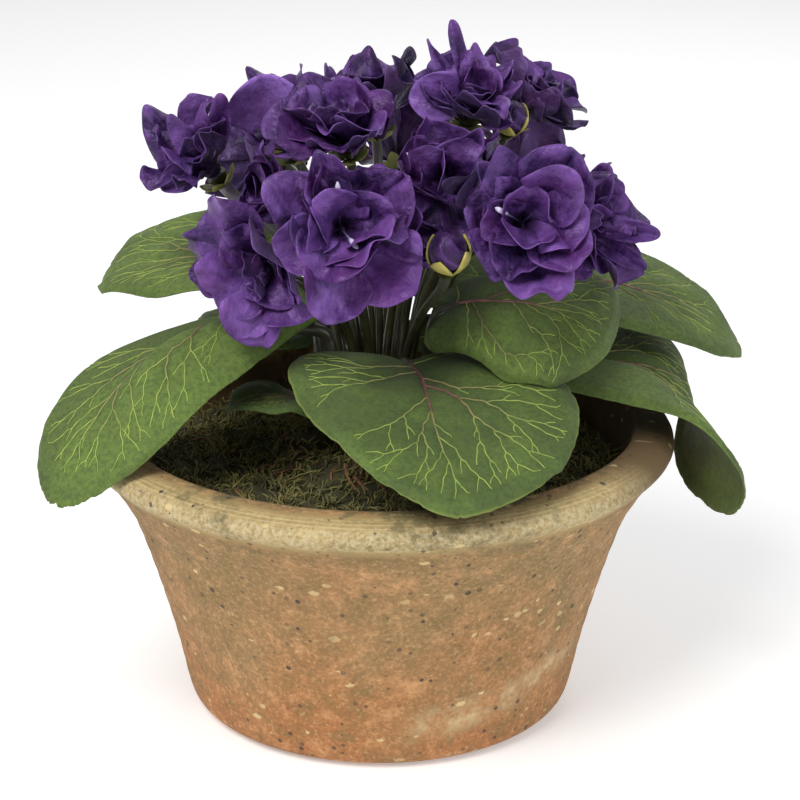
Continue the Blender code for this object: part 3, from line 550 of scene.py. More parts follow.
def makePotTree():
    tree, add, given = newTree(
        "turnedPot", Sides="Int", Rings="Int", Throwing="Float", Pitch="Float", Wobble="Float",
        Finish="Material",
    )
    profile = add("GeometryNodeMeshToCurve", {"Mesh": given["Geometry"]})
    sheet = add("GeometryNodeMeshGrid", {
        "Size X": 1.0, "Size Y": 1.0, "Vertices X": given["Sides"], "Vertices Y": given["Rings"],
    })
    u, v, _ = add("ShaderNodeSeparateXYZ", {0: add("GeometryNodeInputPosition")}).outputs
    angle = add("ShaderNodeMath", {0: u, 1: 2 * math.pi}, operation="MULTIPLY")
    share = add("ShaderNodeMath", {0: v, 1: 0.5}, operation="ADD")
    onLine = add(
        "GeometryNodeSampleCurve", {"Curves": profile, "Factor": share}, mode="FACTOR", use_all_curves=True,
    )
    radius, _, height = add("ShaderNodeSeparateXYZ", {0: onLine.outputs["Position"]}).outputs
    cosine = add("ShaderNodeMath", {0: angle}, operation="COSINE")
    sine = add("ShaderNodeMath", {0: angle}, operation="SINE")
    # shallow throwing lines and a hand-made wobble, on the flared wall only
    lifted = add("ShaderNodeMath", {0: height, 1: potShape["driftUp"]}, operation="MULTIPLY")
    around = add("ShaderNodeCombineXYZ", {0: cosine, 1: sine, 2: lifted})
    drift = add("ShaderNodeTexNoise", {"Vector": around, "Scale": potShape["driftScale"], "Detail": 1.0})
    phase = add("ShaderNodeMath", {0: height, 1: given["Pitch"]}, operation="DIVIDE")
    phase = sumOf(add, (phase, 1), (drift, 2))
    phase = add("ShaderNodeMath", {0: phase, 1: 2 * math.pi}, operation="MULTIPLY")
    ridge = add("ShaderNodeMath", {0: phase}, operation="SINE")
    lean = add("ShaderNodeMath", {0: drift, 1: 0.5}, operation="SUBTRACT")
    shift = sumOf(add, (ridge, given["Throwing"]), (lean, given["Wobble"]))
    onWall = maskOf(add, 1, (height, *potShape["wallUp"]), (radius, *potShape["wallOut"]))
    out = sumOf(add, (radius, 1), (shift, onWall))
    turn = add("ShaderNodeCombineXYZ", {0: cosine, 1: sine})
    spin = add("ShaderNodeVectorMath", {0: turn, "Scale": out}, operation="SCALE")
    up = add("ShaderNodeCombineXYZ", {2: height})
    spot = add("ShaderNodeVectorMath", {0: spin, 1: up}, operation="ADD")
    moved = add("GeometryNodeSetPosition", {"Geometry": sheet, "Position": spot})
    closed = add("GeometryNodeMergeByDistance", {"Geometry": moved, "Distance": 0.02 * mm})
    endTree(add, closed, given["Finish"])
    return tree


def makePot(shape):
    wall = [shape["floor"][1], *shape["inside"], *shape["rim"], *shape["outside"], shape["foot"][0]]
    line = np.vstack([shape["floor"][:1], roundedLine(wall), shape["foot"][1:]]) * mm
    points = [(r, 0, z) for r, z in line]
    profile = meshFrom("potProfile", points, [(i, i + 1) for i in range(len(points) - 1)])
    pot = runTree(
        "terracottaPot", profile, makePotTree(), Sides=shape["sides"] + 1, Rings=shape["rings"],
        Throwing=shape["throwing"], Pitch=shape["pitch"], Wobble=shape["wobble"], Finish=terracotta,
    )
    closeSeams(pot.data)
    settle(pot, "pot")


makePot(potShape)
print("pot turned")


# The leaves: blade, printed veins and stem

# notchWidth, tipWidth, ridgePlace: shares of a half's width. ridgeFade: where along the leaf a crease fades.
# fray and nicks: of the cut edge. quilt: how far the cloth puffs up between veins. buckle: a slow wave.
# stalkShade: how far the painted shade round the stalk goes, along and across, as shares. veinDark and
# stalkDark: how strong the painted shade is in the pressed main veins and round the stalk.
leafCut = {
    "notchWidth": 0.34, "tipWidth": 0.4, "ridgePlace": 0.3, "ridgeFade": (0.45, 0.85), "wavesAlong": 9,
    "rows": 96, "columns": 92, "thickness": 0.5 * mm, "middle": 0.45, "fray": 0.009, "nicks": 0.035,
    "quilt": 1.05 * mm, "quiltWidth": 3.6 * mm, "fineQuilt": 0.3 * mm, "fineWidth": 1.2 * mm,
    "buckle": 0.8 * mm, "buckleSize": 17 * mm, "veinShade": 1.5 * mm, "stem": 1.9 * mm, "footRing": 18.5 * mm,
    "veinDark": 0.4, "stalkDark": 0.85, "stalkShade": (0.24, 0.4), "stemBend": 8 * mm, "stemRings": (18, 6),
}
# What a leaf has unless its own row says otherwise. In a pair, the half on the negative side comes first.
# corner: how round its outline is. egg: how much each half's base outgrows its tip. roll: at base and tip.
# fold and curl: of each half, in degrees. taper and waist: how much narrower its tip and base are.
# ridge: of a crease beside the midrib. dye: how light it is, partly its dye and partly painted shade
# where the leaf lies in shadow. inked: how strongly its fine veins are printed. hem: how yellow its cut edge
# is.
# dim: how much painted shade darkens each half, where that half lies in shadow.
plainLeaf = dict(
    corner=0.46, egg=(0.16, 0.16), roll=(0, 0), fold=(0, 0), notch=0.12, tip=0.0, wave=1.0, taper=(0, 0),
    waist=(0, 0), ridge=(0, 0), dye=0.5, inked=1.0, hem=0.25, dim=(0, 0),
)
# midrib: in millimetres, from the stalk to the tip. foot: where the stem stands, in degrees round the crown.
leafShapes = {
    "leaf_front": dict(
        midrib=((7, -21, 108), (12, -42, 111), (17, -66, 101), (22, -84, 87.5)), halves=(41, 34), foot=288,
        fold=(6, 10), curl=(-20, -16), notch=0.15, tip=0.02, wave=1.2, egg=(0.04, 0.26), dye=0.42, hem=0.8,
    ),
    "leaf_left_front": dict(
        midrib=((-18, -12, 115), (-44, -15, 117), (-76, -31, 115), (-87, -47, 75)), halves=(37, 29), foot=212,
        roll=(0, 34), fold=(-5, -8), curl=(-12, -2), notch=0.10, taper=(0.3, 0.2), waist=(0.85, 0.8),
        ridge=(6.5, 0), dye=0.66, dim=(0, 0.6),
    ),
    "leaf_left_back": dict(
        midrib=((-24, 11, 122), (-42, 16, 127), (-64, 21, 128), (-81, 23, 116)), halves=(24, 30), foot=158,
        roll=(13, 14), fold=(12, 5), curl=(-14, -16), notch=0.14, wave=1.6, taper=(0.5, 0), corner=0.2,
        egg=(-0.08, -0.12), dye=0.6, inked=0.8,
    ),
    "leaf_right_front": dict(
        midrib=((18, -17, 122), (33, -22, 129), (49, -26, 127), (62, -28, 113)), halves=(32, 25), foot=325,
        roll=(-6, -14), fold=(8, -26), curl=(-14, -26), notch=0.16, wave=1.5, waist=(0.6, 0.35), corner=0.36,
        egg=(-0.06, 0.02), dim=(0.55, 0),
    ),
    "leaf_right_back": dict(
        midrib=((28, 9, 116), (52, 14, 127), (82, 19, 119), (105, 20, 97)), halves=(33, 20), foot=22,
        roll=(-12, -16), fold=(4, 0), curl=(-18, -14), wave=1.5, corner=0.36, inked=0.35,
    ),
    "leaf_right_low": dict(
        midrib=((32, 0, 96), (60, -1, 108), (96, -12, 102), (98, -13, 60)), halves=(46, 22), foot=350,
        roll=(-4, 58), fold=(6, 0), curl=(-8, -14), notch=0.06, taper=(0.1, 0), waist=(0, 0.2),
        ridge=(0, 2.5), inked=0.8, dim=(0.5, 0),
    ),
    "leaf_left_low": dict(
        midrib=((-18, -23, 94), (-26, -23, 100), (-34, -25, 101), (-42, -28, 96)), halves=(12, 12), foot=240,
        curl=(-8, -8), notch=0.08, tip=0.06, dye=0.3,
    ),
    "leaf_back_left": dict(
        midrib=((-12, 24, 102), (-24, 46, 108), (-38, 68, 100), (-46, 86, 84)), halves=(28, 28), foot=118,
        curl=(-16, -16), tip=0.04, wave=2.0,
    ),
    "leaf_back": dict(
        midrib=((6, 24, 114), (9, 46, 122), (13, 70, 114), (14, 90, 94)), halves=(31, 30), foot=84,
        roll=(0, 4), fold=(0, -2), curl=(-14, -16), notch=0.14, tip=0.02, wave=2.0,
    ),
    "leaf_back_right": dict(
        midrib=((17, 24, 96), (33, 45, 101), (49, 64, 94), (59, 78, 79)), halves=(24, 24), foot=52,
        curl=(-14, -14), notch=0.10, tip=0.06, wave=2.0,
    ),
}
# how the stems stand in the growing medium: their holes, and the play and the web of mix between them
bedShape = {
    "moundTop": 78 * mm, "hole": 10 * mm, "collar": 1 * mm, "fit": 0.3 * mm, "play": 0.55 * mm,
    "web": 0.6 * mm,
}


def ofHalf(pair, across):
    return np.array(pair)[(across > 0).astype(int)]


def leafOutline(leaf, a, b):
    # from a square of -1 to 1 to the leaf's flat outline: across in half widths, and along its midrib
    x, y = a * np.sqrt(1 - leaf["corner"] * b * b), b * np.sqrt(1 - leaf["corner"] * a * a)
    base, top = (1 - y) / 2, (1 + y) / 2
    along = top + leaf["notch"] * base**3 * bell(x / leafCut["notchWidth"])
    along = along + leaf["tip"] * top**4 * bell(x / leafCut["tipWidth"])
    return x * (1 - ofHalf(leaf["egg"], a) * y), (along - leaf["notch"]) / (1 + leaf["tip"] - leaf["notch"])


def halfWidth(leaf, across, along):
    # how far the blade reaches beside its midrib there
    held = np.clip(along, 0, 1)
    half = ofHalf(leaf["halves"], across) * mm * (1 - ofHalf(leaf["taper"], across) * held**3)
    return half * (1 - ofHalf(leaf["waist"], across) * (1 - held) ** 2)


def leafPoint(leaf, across, along):
    # the point of the blade at that place of its flat outline
    curve = np.array(leaf["midrib"], float) * mm
    held = np.clip(along, 0, 1)
    slope = bezierSlope(curve, held)
    forward = unit(slope)
    centre = bezier(curve, held) + slope * np.minimum(along, 0)[..., None]
    heading = curve[3] - curve[0]
    side = np.array((heading[1], -heading[0], 0.0))
    side = unit(side - forward * (forward @ side)[..., None])
    normal = np.cross(side, forward)
    roll0, roll1 = np.radians(leaf["roll"])
    roll = (roll0 + (roll1 - roll0) * held**3)[..., None]
    side, normal = side * np.cos(roll) + normal * np.sin(roll), normal * np.cos(roll) - side * np.sin(roll)
    # each half folds at the midrib and curls on in an arc
    half = halfWidth(leaf, across, along)
    fold, curl = ofHalf(np.radians(leaf["fold"]), across), ofHalf(np.radians(leaf["curl"]), across)
    reach = np.abs(across)
    out = (np.sin(fold + curl * reach) - np.sin(fold)) / curl * half
    lift = (np.cos(fold) - np.cos(fold + curl * reach)) / curl * half
    beside = reach / leafCut["ridgePlace"]
    fade = (leafCut["ridgeFade"][1] - along) / (leafCut["ridgeFade"][1] - leafCut["ridgeFade"][0])
    lift = lift + ofHalf(leaf["ridge"], across) * mm * beside * np.exp(1 - beside) * smoothStep(fade)
    edge = np.maximum(reach, 2 * held - 1) ** 3 * smoothStep(2 * reach)
    swing = np.sin(leafCut["wavesAlong"] * along + 2 * np.copysign(1, across) + leaf["foot"])
    lift = lift + leaf["wave"] * mm * edge * swing
    return centre + side * np.copysign(out, across)[..., None] + normal * lift[..., None]


def leafNormal(leaf, across, along):
    step = 0.004
    du = leafPoint(leaf, across + step, along) - leafPoint(leaf, across - step, along)
    dv = leafPoint(leaf, across, along + step) - leafPoint(leaf, across, along - step)
    return unit(np.cross(du, dv))


def leafLength(leaf):
    steps = bezier(np.array(leaf["midrib"], float) * mm, np.linspace(0, 1, 30))
    return np.linalg.norm(np.diff(steps, axis=0), axis=1).sum()


def flatPlaces(leaf, across, along):
    # places on the flat cloth, in metres beside and along the midrib
    return np.stack([across * halfWidth(leaf, across, along), along * leafLength(leaf)], -1).reshape(-1, 2)


# fullSize: the leaf length that the rule is for; in a smaller leaf its veins are smaller too
veinRule = {
    "fullSize": 60 * mm, "step": 0.8 * mm, "young": 3, "kinkEvery": 3, "kink": 0.5, "outward": 0.05,
    # a vein stops near the margin, or with another one that near in a cone ahead of it
    "margin": 0.87, "raggedness": (-0.04, 0.03), "ahead": 2.3 * mm, "cone": 0.5,
    # the midrib: how far along the leaf it runs, its sway and the two forks at its end
    "reach": 0.86, "sway": 0.8 * mm, "sways": 8, "straight": 20, "endForks": (-0.35, 0.4),
    # each pair of side veins: where it leaves the midrib, and at what angle; how unevenly they do
    "laterals": ((0.02, 120), (0.1, 86), (0.22, 64), (0.37, 52), (0.52, 45), (0.66, 40), (0.8, 36)),
    "stagger": 0.035, "rootLuck": (-0.015, 0.015), "angleLuck": (-7, 7),
    # where along the leaf they spread from, and how unevenly they kink and share a fork
    "centre": 0.2, "kinkLuck": (0.2, 1), "forkLuck": (0.25, 0.75),
    # how far a vein runs before it forks, and how wide the two are apart
    "first": (9 * mm, 14 * mm), "fork": (4 * mm, 8.5 * mm), "opening": (0.4, 0.72),
    "thin": 0.14 * mm, "thick": 0.62 * mm, "sides": 4, "proud": 0.06 * mm, "main": 0.05,
}


def startVeins(length, small, seed, chance):
    # the midrib's spots, what each grew from, and the tips: each tip's last spot, its heading, how far it is
    # from its next fork, the side of its last kink and its age in steps
    step = veinRule["step"] * small
    spots, parents = [np.zeros(2)], [-1]
    for i in range(1, int(veinRule["reach"] * length / step)):
        sway = veinRule["sway"] * math.sin(i * step / length * veinRule["sways"] + seed)
        spots.append(np.array((sway * min(1, i / veinRule["straight"]), i * step)))
        parents.append(i - 1)
    end = len(spots) - 1
    tips = [[end, turn, chance.uniform(*veinRule["fork"]), 1, 0] for turn in veinRule["endForks"]]
    for i, (start, angle) in enumerate(veinRule["laterals"]):
        for hand in (-1, 1):
            root = start + veinRule["stagger"] * hand * (1 if i % 2 else -1)
            root += chance.uniform(*veinRule["rootLuck"])
            node = int(np.clip(root * length / step, 0, end))
            turn = hand * math.radians(angle + chance.uniform(*veinRule["angleLuck"]))
            tips.append([node, turn, chance.uniform(*veinRule["first"]) * small, hand, 0])
    return spots, parents, tips


def growVeins(leaf, seed):
    # Every vein grows by a short step at a time, all of them together. It kinks, turns slowly outwards, forks
    # now and then, and stops short of the margin or of another vein, as a real leaf's open net does.
    chance = np.random.default_rng(seed)
    length = leafLength(leaf)
    small = min(1.0, length / veinRule["fullSize"])
    step = veinRule["step"] * small
    a, b = gridOf(64, 64, -1.05, 1.05)
    cells = flatPlaces(leaf, *leafOutline(leaf, a, b))
    ring = np.maximum(np.abs(a), np.abs(b)).ravel()
    spots, parents, tips = startVeins(length, small, seed, chance)
    while tips:
        growing = []
        for node, heading, left, zigzag, age in tips:
            here = spots[node]
            if age % veinRule["kinkEvery"] == veinRule["kinkEvery"] - 1:
                zigzag = -zigzag
                heading += veinRule["kink"] * zigzag * chance.uniform(*veinRule["kinkLuck"])
            away = here - (0, veinRule["centre"] * length)
            heading += veinRule["outward"] * math.sin(math.atan2(away[0], away[1]) - heading)
            way = np.array((math.sin(heading), math.cos(heading)))
            there = here + step * way
            margin = veinRule["margin"] + chance.uniform(*veinRule["raggedness"])
            if ring[np.linalg.norm(cells - there, axis=1).argmin()] > margin:
                continue
            beside = np.array(spots) - here
            far = np.linalg.norm(beside, axis=1)
            facing = beside @ way > veinRule["cone"] * far
            near = (far > 0.01 * mm) & (far < veinRule["ahead"] * small)
            if age > veinRule["young"] and (facing & near).any():
                continue
            spots.append(there)
            parents.append(node)
            node = len(spots) - 1
            left -= step
            if left > 0:
                growing.append([node, heading, left, zigzag, age + 1])
                continue
            opening = 2 * chance.uniform(*veinRule["opening"])
            share = chance.uniform(*veinRule["forkLuck"])
            for turn in (-share * opening, (1 - share) * opening):
                run = chance.uniform(*veinRule["fork"]) * small
                growing.append([node, heading + turn, run, 1 if turn > 0 else -1, 0])
        tips = growing
    return np.array(spots), *veinLines(parents)


def veinLines(parents):
    # how much of the net each spot feeds, as a share, and the net's lines, each along its biggest branches
    feeds = np.ones(len(parents))
    children = [[] for _ in parents]
    for i in range(len(parents) - 1, 0, -1):
        feeds[parents[i]] += feeds[i]
        children[parents[i]].append(i)
    feeds = feeds / feeds.max()
    lines = []
    starts = [(0, None)]
    while starts:
        node, parent = starts.pop()
        line = [] if parent is None else [parent]
        while True:
            line.append(node)
            after = sorted(children[node], key=lambda i: feeds[i])
            if not after:
                break
            starts += [(i, node) for i in after[:-1]]
            node = after[-1]
        if len(line) > 2:
            lines.append(line)
    return feeds, lines


def puffOf(places, net, seed):
    # how far the blade puffs up between its pressed veins and buckles, and how near a main vein each place is
    spots, feeds, _ = net
    main, fine = [
        np.linalg.norm(places[:, None] - spots[kind][None], axis=-1).min(1)
        for kind in (feeds > veinRule["main"], feeds <= veinRule["main"])
    ]
    layered = np.column_stack([places, np.full(len(places), seed * 0.05)])
    slow = roughNoise(layered, 1 / leafCut["buckleSize"], seed)
    quilt = leafCut["quilt"] * (1 - bell(main / leafCut["quiltWidth"]))
    quilt = quilt + leafCut["fineQuilt"] * (1 - bell(fine / leafCut["fineWidth"]))
    return quilt, leafCut["buckle"] * slow, main


def makeBlade(name, leaf, net, seed):
    rows, columns = leafCut["rows"], leafCut["columns"]
    a, b = gridOf(rows, columns)
    across, along = leafOutline(leaf, a, b)
    ring = np.maximum(np.abs(a), np.abs(b))
    # the cut edge is slightly frayed and nicked
    angle = np.arctan2(b, a)
    around = turnedBy(angle, 1, 0, 0)
    nicks = np.maximum(0, roughNoise(around, 9, seed + 40) - 0.3)
    ragged = 0.4 * roughNoise(around, 4, seed) + 0.7 * roughNoise(around, 23, seed)
    fray = 1 + ring**14 * (leafCut["fray"] * ragged - leafCut["nicks"] * nicks)
    across, along = across * fray, leafCut["middle"] + (along - leafCut["middle"]) * fray
    flat = flatPlaces(leaf, across, along)
    quilt, slow, main = puffOf(flat, net, seed)
    puff = (quilt * smoothStep((1 - ring.ravel()) * 8) + slow).reshape(rows, columns)
    points = leafPoint(leaf, across, along) + leafNormal(leaf, across, along) * puff[..., None]
    hem = leaf["hem"] * smoothStep((ring - 0.98) / 0.02) * (0.7 + 0.3 * roughNoise(around, 8, seed))
    # painted shade: darker in the pressed main veins, round the stalk in the crown, and on a half that lies
    # in shadow
    shade = leafCut["veinDark"] * bell(main.reshape(rows, columns) / leafCut["veinShade"])
    shadeAlong, shadeAcross = leafCut["stalkShade"]
    shade = shade + leafCut["stalkDark"] * bell(np.hypot(along / shadeAlong, across / shadeAcross))
    shade = shade + ofHalf(leaf["dim"], across) * smoothStep(3 * np.abs(across)) * (1.1 - 0.7 * along)
    mesh = meshFrom(name + "_cloth", points.reshape(-1, 3), (), gridFaces(rows, columns), {
        "hem": np.clip(hem, 0, 1), "shade": np.clip(shade, 0, 1), "dye": np.full(rows * columns, leaf["dye"]),
    })
    clothMap(mesh, flat)
    blade = addPiece(name + "_cloth", mesh, leafCloth, leafBack)
    thicken(blade, leafCut["thickness"], 1)
    settle(blade, name)


def printVeins(name, leaf, net, seed):
    # the veins lie on the blade as it is made here, so they follow its buckles too
    spots, feeds, lines = net
    quilt, slow, _ = puffOf(spots, net, seed)
    raised = quilt + slow + leafCut["thickness"] / 2 + veinRule["proud"]
    length = leafLength(leaf)
    along = spots[:, 1] / length
    across = spots[:, 0] / halfWidth(leaf, spots[:, 0], along)
    places = leafPoint(leaf, across, along) + leafNormal(leaf, across, along) * raised[:, None]
    small = min(1.0, length / veinRule["fullSize"])
    widths = small * (veinRule["thin"] + (veinRule["thick"] - veinRule["thin"]) * feeds**0.6)
    # the big veins blush pink brown, and the fine ones are printed as strongly as the leaf says
    blush = np.clip(2.5 * np.sqrt(feeds) - 0.28, 0, 1)
    tints = np.where(blush > 0, blush, leaf["inked"] - 1)
    paths = pathSet()
    for line in lines:
        paths.add(places[line], widths[line], tints[line])
    settle(paths.swept(name + "_veins", veinRule["sides"], veinPrint))


def standingAt(x, y):
    # the two ends of a stem's straight part: down in its hole, and just over the mound
    low = np.array((x, y, bedShape["moundTop"] - bedShape["hole"] + bedShape["fit"]))
    return low, low + (0, 0, bedShape["hole"] + bedShape["collar"])


def addLeafStem(leaf, stems):
    # out of its hole, over to the blade's base, then under the midrib
    radius = leafCut["stem"]
    turn = math.radians(leaf["foot"])
    low, collar = standingAt(leafCut["footRing"] * math.cos(turn), leafCut["footRing"] * math.sin(turn))
    curve = np.array(leaf["midrib"], float) * mm
    head = curve[0] - (0, 0, 0.4 * radius)
    knee = collar + (0, 0, 0.5 * (head[2] - collar[2]))
    bend = np.array((collar, knee, head - unit(curve[1] - curve[0]) * leafCut["stemBend"], head))
    rings, last = leafCut["stemRings"]
    under = leafPoint(leaf, np.zeros(last), np.linspace(0.05, 0.3, last)) - (0, 0, 0.3 * radius)
    route = np.vstack([low[None], bezier(bend, np.linspace(0, 1, rings)), under])
    thick = np.concatenate([np.full(rings + 1, radius), radius * np.linspace(0.9, 0.3, last)])
    stems.add(route, thick, np.linspace(0, 0.1, len(route)))


stems = pathSet()
for seed, (name, shape) in enumerate(leafShapes.items(), 3):
    leaf = {**plainLeaf, **shape}
    net = growVeins(leaf, seed)
    makeBlade(name, leaf, net, seed)
    printVeins(name, leaf, net, seed)
    addLeafStem(leaf, stems)
settle(stems.swept("leafStems", 12, stalkPlastic))
print("leaves made")


# The blooms: whorls of petals, with stamens in the open ones

# What a bloom or bud has unless its own row says otherwise. opens: how far its outer petals open from the
# way that it faces. petals: in the solid's two whorls. drift: the side where they are longer. fade: the side
# where they are lighter, as painted light on that side. dim: how much darker it is. slim: the share of their
# width that they keep.
# rise, bow and sway: how its stalk bends. pale: how lilac its stalk is.
plainBloom = dict(
    turn=0, opens=76, petals=(5, 3), stamens=0, drift=(0, 0, 0), fade=(0, 0, 0), dim=0, slim=1, strays=(),
    rise=0.7, bow=12, sway=(0, 0), pale=0.15,
)
# at: its throat, in millimetres. faces: the way it looks. strays: single petals that stand out of it, each
# with its tip, its half width and the way its face looks.
bloomShapes = {
    "bloom_far_left": dict(
        at=(-47, 0, 157), faces=(-0.55, -0.2, 0.8), radius=19, opens=50, turn=10, petals=(4, 2), bow=20,
        sway=(0, 14), pale=0.9, dim=0.15, slim=0.8, strays=(
            dict(tip=(-43, -4, 180), half=3.6, look=(0.3, -1, 0.1)),
            dict(tip=(-47, -5, 177), half=3.2, look=(-0.5, -1, 0)),
            dict(tip=(-57, -5, 174), half=3.8, look=(-0.2, -1, 0.2)),
            dict(tip=(-61, -6, 154), half=4.5, look=(0, -1, 0.5)),
        ),
    ),
    "bloom_back_left": dict(
        at=(-26, 21, 159), faces=(-0.3, -0.45, 0.82), radius=24, opens=62, turn=80, dim=0.1,
        strays=(dict(tip=(-31, 8, 186), half=13.5, look=(-0.1, -1, 0.25), tone=1.7),),
    ),
    "bloom_left": dict(at=(-31, -4, 153), faces=(-0.6, -0.7, 0.35), radius=17, opens=70, turn=30, dim=0.2),
    "bloom_front": dict(
        at=(-10, -47, 153), faces=(0.02, -0.9, 0.42), radius=23.5, opens=78, turn=54, petals=(5, 4),
        stamens=4, drift=(0.12, 0, -0.1), fade=(-0.1, 0, -0.3),
    ),
    "bloom_left_low": dict(
        at=(-29, -33, 138), faces=(-0.6, -0.75, -0.15), radius=20, turn=20, drift=(-0.1, 0, 0.05),
    ),
    "bloom_top": dict(
        at=(24, -8, 176), faces=(0.05, -0.6, 0.8), radius=19, turn=60, petals=(5, 4), dim=0.15, strays=(
            dict(tip=(19, -5, 200), half=2.4, look=(0.3, -1, 0)),
            dict(tip=(13, -5, 195), half=2.2, look=(-0.4, -1, 0)),
            dict(tip=(7, -12, 184), half=7.5, look=(-0.2, -1, 0.4), tone=1.3),
        ),
    ),
    "bloom_top_right": dict(at=(38, 14, 171), faces=(0.5, 0.0, 0.85), radius=19, opens=72, turn=10, dim=0.3),
    "bloom_top_left": dict(
        at=(-2, 18, 167), faces=(-0.1, -0.1, 0.98), radius=22, opens=72, turn=40, dim=0.25,
    ),
    "bloom_right": dict(
        at=(37, -40, 153), faces=(0.22, -0.92, 0.3), radius=22, opens=78, turn=18, petals=(5, 4), rise=0.98,
        sway=(-1, 0), stamens=3, drift=(0.2, 0, -0.12), fade=(0.4, 0, -0.1), dim=0.12, strays=(
            dict(tip=(26, -40, 170), half=4.0, look=(0.5, -1, 0)),
            dict(tip=(24, -45, 149), half=4.4, look=(0.3, -1, 0.2), tone=0.2),
        ),
    ),
    "bloom_far_right": dict(
        at=(53, -7, 143), faces=(0.88, -0.45, 0.1), radius=19, opens=66, rise=1.0, dim=0.1, strays=(
            dict(tip=(77, -11, 141), half=3.4, look=(0.1, -1, 0.4)),
            dict(tip=(73, -13, 132), half=3.0, look=(0, -1, 0.3)),
            dict(tip=(62, -12, 163), half=5.0, look=(0.3, -1, 0.2)),
        ),
    ),
    "bloom_middle": dict(at=(-9, -17, 169), faces=(-0.12, -0.5, 0.84), radius=21, opens=72, turn=36, dim=0.2),
    "bloom_centre": dict(
        at=(17, -24, 160), faces=(0.0, -0.86, 0.5), radius=24, opens=80, dim=0.4, stamens=1, strays=(
            dict(tip=(27, -31, 176), half=4.2, look=(0.2, -1, 0.1), tone=0.2),
            dict(tip=(8, -30, 143), half=6.5, look=(-0.2, -1, 0.1), tone=0.1),
            dict(tip=(24, -31, 142), half=6.5, look=(0.3, -1, 0.1), tone=0.15),
            dict(tip=(1, -30, 156), half=6.2, look=(-0.3, -1, 0.2), tone=0.3),
            dict(tip=(32, -30, 158), half=6.2, look=(0.3, -1, 0.2), tone=0.2),
        ),
    ),
    "bloom_front_low": dict(
        at=(11, -28, 147), faces=(0.1, -0.95, 0.1), radius=16, turn=18, petals=(5, 2), dim=0.5,
    ),
    "bloom_back_low": dict(
        at=(-31, 43, 149), faces=(-0.6, 0.75, 0.2), radius=19, opens=74, turn=30, stamens=2,
    ),
    "bloom_back": dict(at=(5, 49, 147), faces=(0.0, 0.92, 0.38), radius=24, turn=50, stamens=3),
    "bloom_back_right": dict(at=(39, 38, 146), faces=(0.6, 0.7, 0.32), radius=23, turn=12, stamens=3),
}
budShapes = {
    "bud_front": dict(at=(18, -42, 143), faces=(0.05, -0.5, 0.85), radius=5.2, rise=0.84, sway=(4, -3)),
    "bud_top": dict(at=(35, -4, 171), faces=(0.2, -0.55, 0.8), radius=4.2),
}
flowers = {name: {**plainBloom, **shape} for name, shape in {**bloomShapes, **budShapes}.items()}
# The whorls of a double bloom, the wide one first: lengths and openings are shares of the bloom's own.
# like and more: how many petals it has beyond those of one of the solid's whorls. start and raised: where
# they start, in millimetres out from the axis and up along it. step: how far they stand between the others,
# as a share. key: picks the noise that varies them.
whorlKeys = "like more length opens half cup wave start raised step curl key".split()
whorlRules = [dict(zip(whorlKeys, row)) for row in (
    (0, 2, 1.0, 1.0, 0.4, 0.3, 0.12, 1.6, -1.0, 0.0, 30, 1),
    (1, 2, 0.84, 0.82, 0.42, 0.35, 0.13, 1.5, -0.2, 0.4, 38, 3),
    (1, 1, 0.68, 0.56, 0.44, 0.45, 0.12, 1.1, 0.7, 0.5, 34, 0),
    (1, -1, 0.46, 0.34, 0.5, 0.5, 0.1, 0.8, 1.3, 0.2, 20, 5),
)]
# each petal's own luck, drawn in this order
petalLuck = {
    "around": (-0.22, 0.22), "length": (0.8, 1.1), "opens": (-14, 12), "swing": (-0.15, 0.15),
    "half": (0.82, 1.15), "curl": (-0.7, 1.2), "cup": (-0.5, 1.7), "twist": (-0.3, 0.3), "slant": (-0.3, 0.3),
    "wave": (0.5, 1.5), "waves": (1.3, 2.7), "phase": (0, 6.3), "tone": (0.0, 1.0),
}
# neck and neckEnd: how narrow a petal's root is, and where it is at its full width. rate: of its opening
# along it. second: the finer ruffles, as a multiple of the first and a share of their height.
petalCut = {
    "rows": 19, "columns": 17, "thickness": 0.22 * mm, "lean": (0.06, 0.32), "pinwheel": 0.14, "spread": 1.08,
    "steps": 14, "rate": 1.2, "neck": 0.2, "neckEnd": 0.64, "second": (5.3, 0.35), "crease": 0.035,
    "creaseWidth": 0.2, "buckle": 0.04, "crumple": 0.9 * mm, "crumpleSize": 7 * mm,
    # how petals keep clear of the next bloom: from how near, by how much, and how softly they bend
    "near": 1.3, "gap": 0.6 * mm, "bend": 5 * mm,
    "throat": 3.2 * mm, "throatDepth": 4 * mm, "calyx": 4 * mm, "stalk": 1.25 * mm, "draw": 0.19,
    # what slow noise adds to each petal: its length, opening, swing, width and its tip's opening
    "vary": (0.24, 12, 0.16, 0.08, 14), "firstOpens": 0.62, "lastOpens": 1.1,
    # its lightness: from its own tone, on its rim as partly dye and partly a painted highlight, less this
    # much;
    # and how much painted shade darkens its root
    "tones": (0.75, 0.4, 0.05), "rootShade": 0.95,
}


def bloomMatrix(bloom):
    way = Vector(bloom["faces"]).normalized()
    turn = Matrix.Rotation(math.radians(bloom["turn"]), 4, "Z")
    aim = way.to_track_quat("Z", "Y").to_matrix().to_4x4()
    return np.array(Matrix.Translation(Vector(bloom["at"]) * mm) @ aim @ turn)


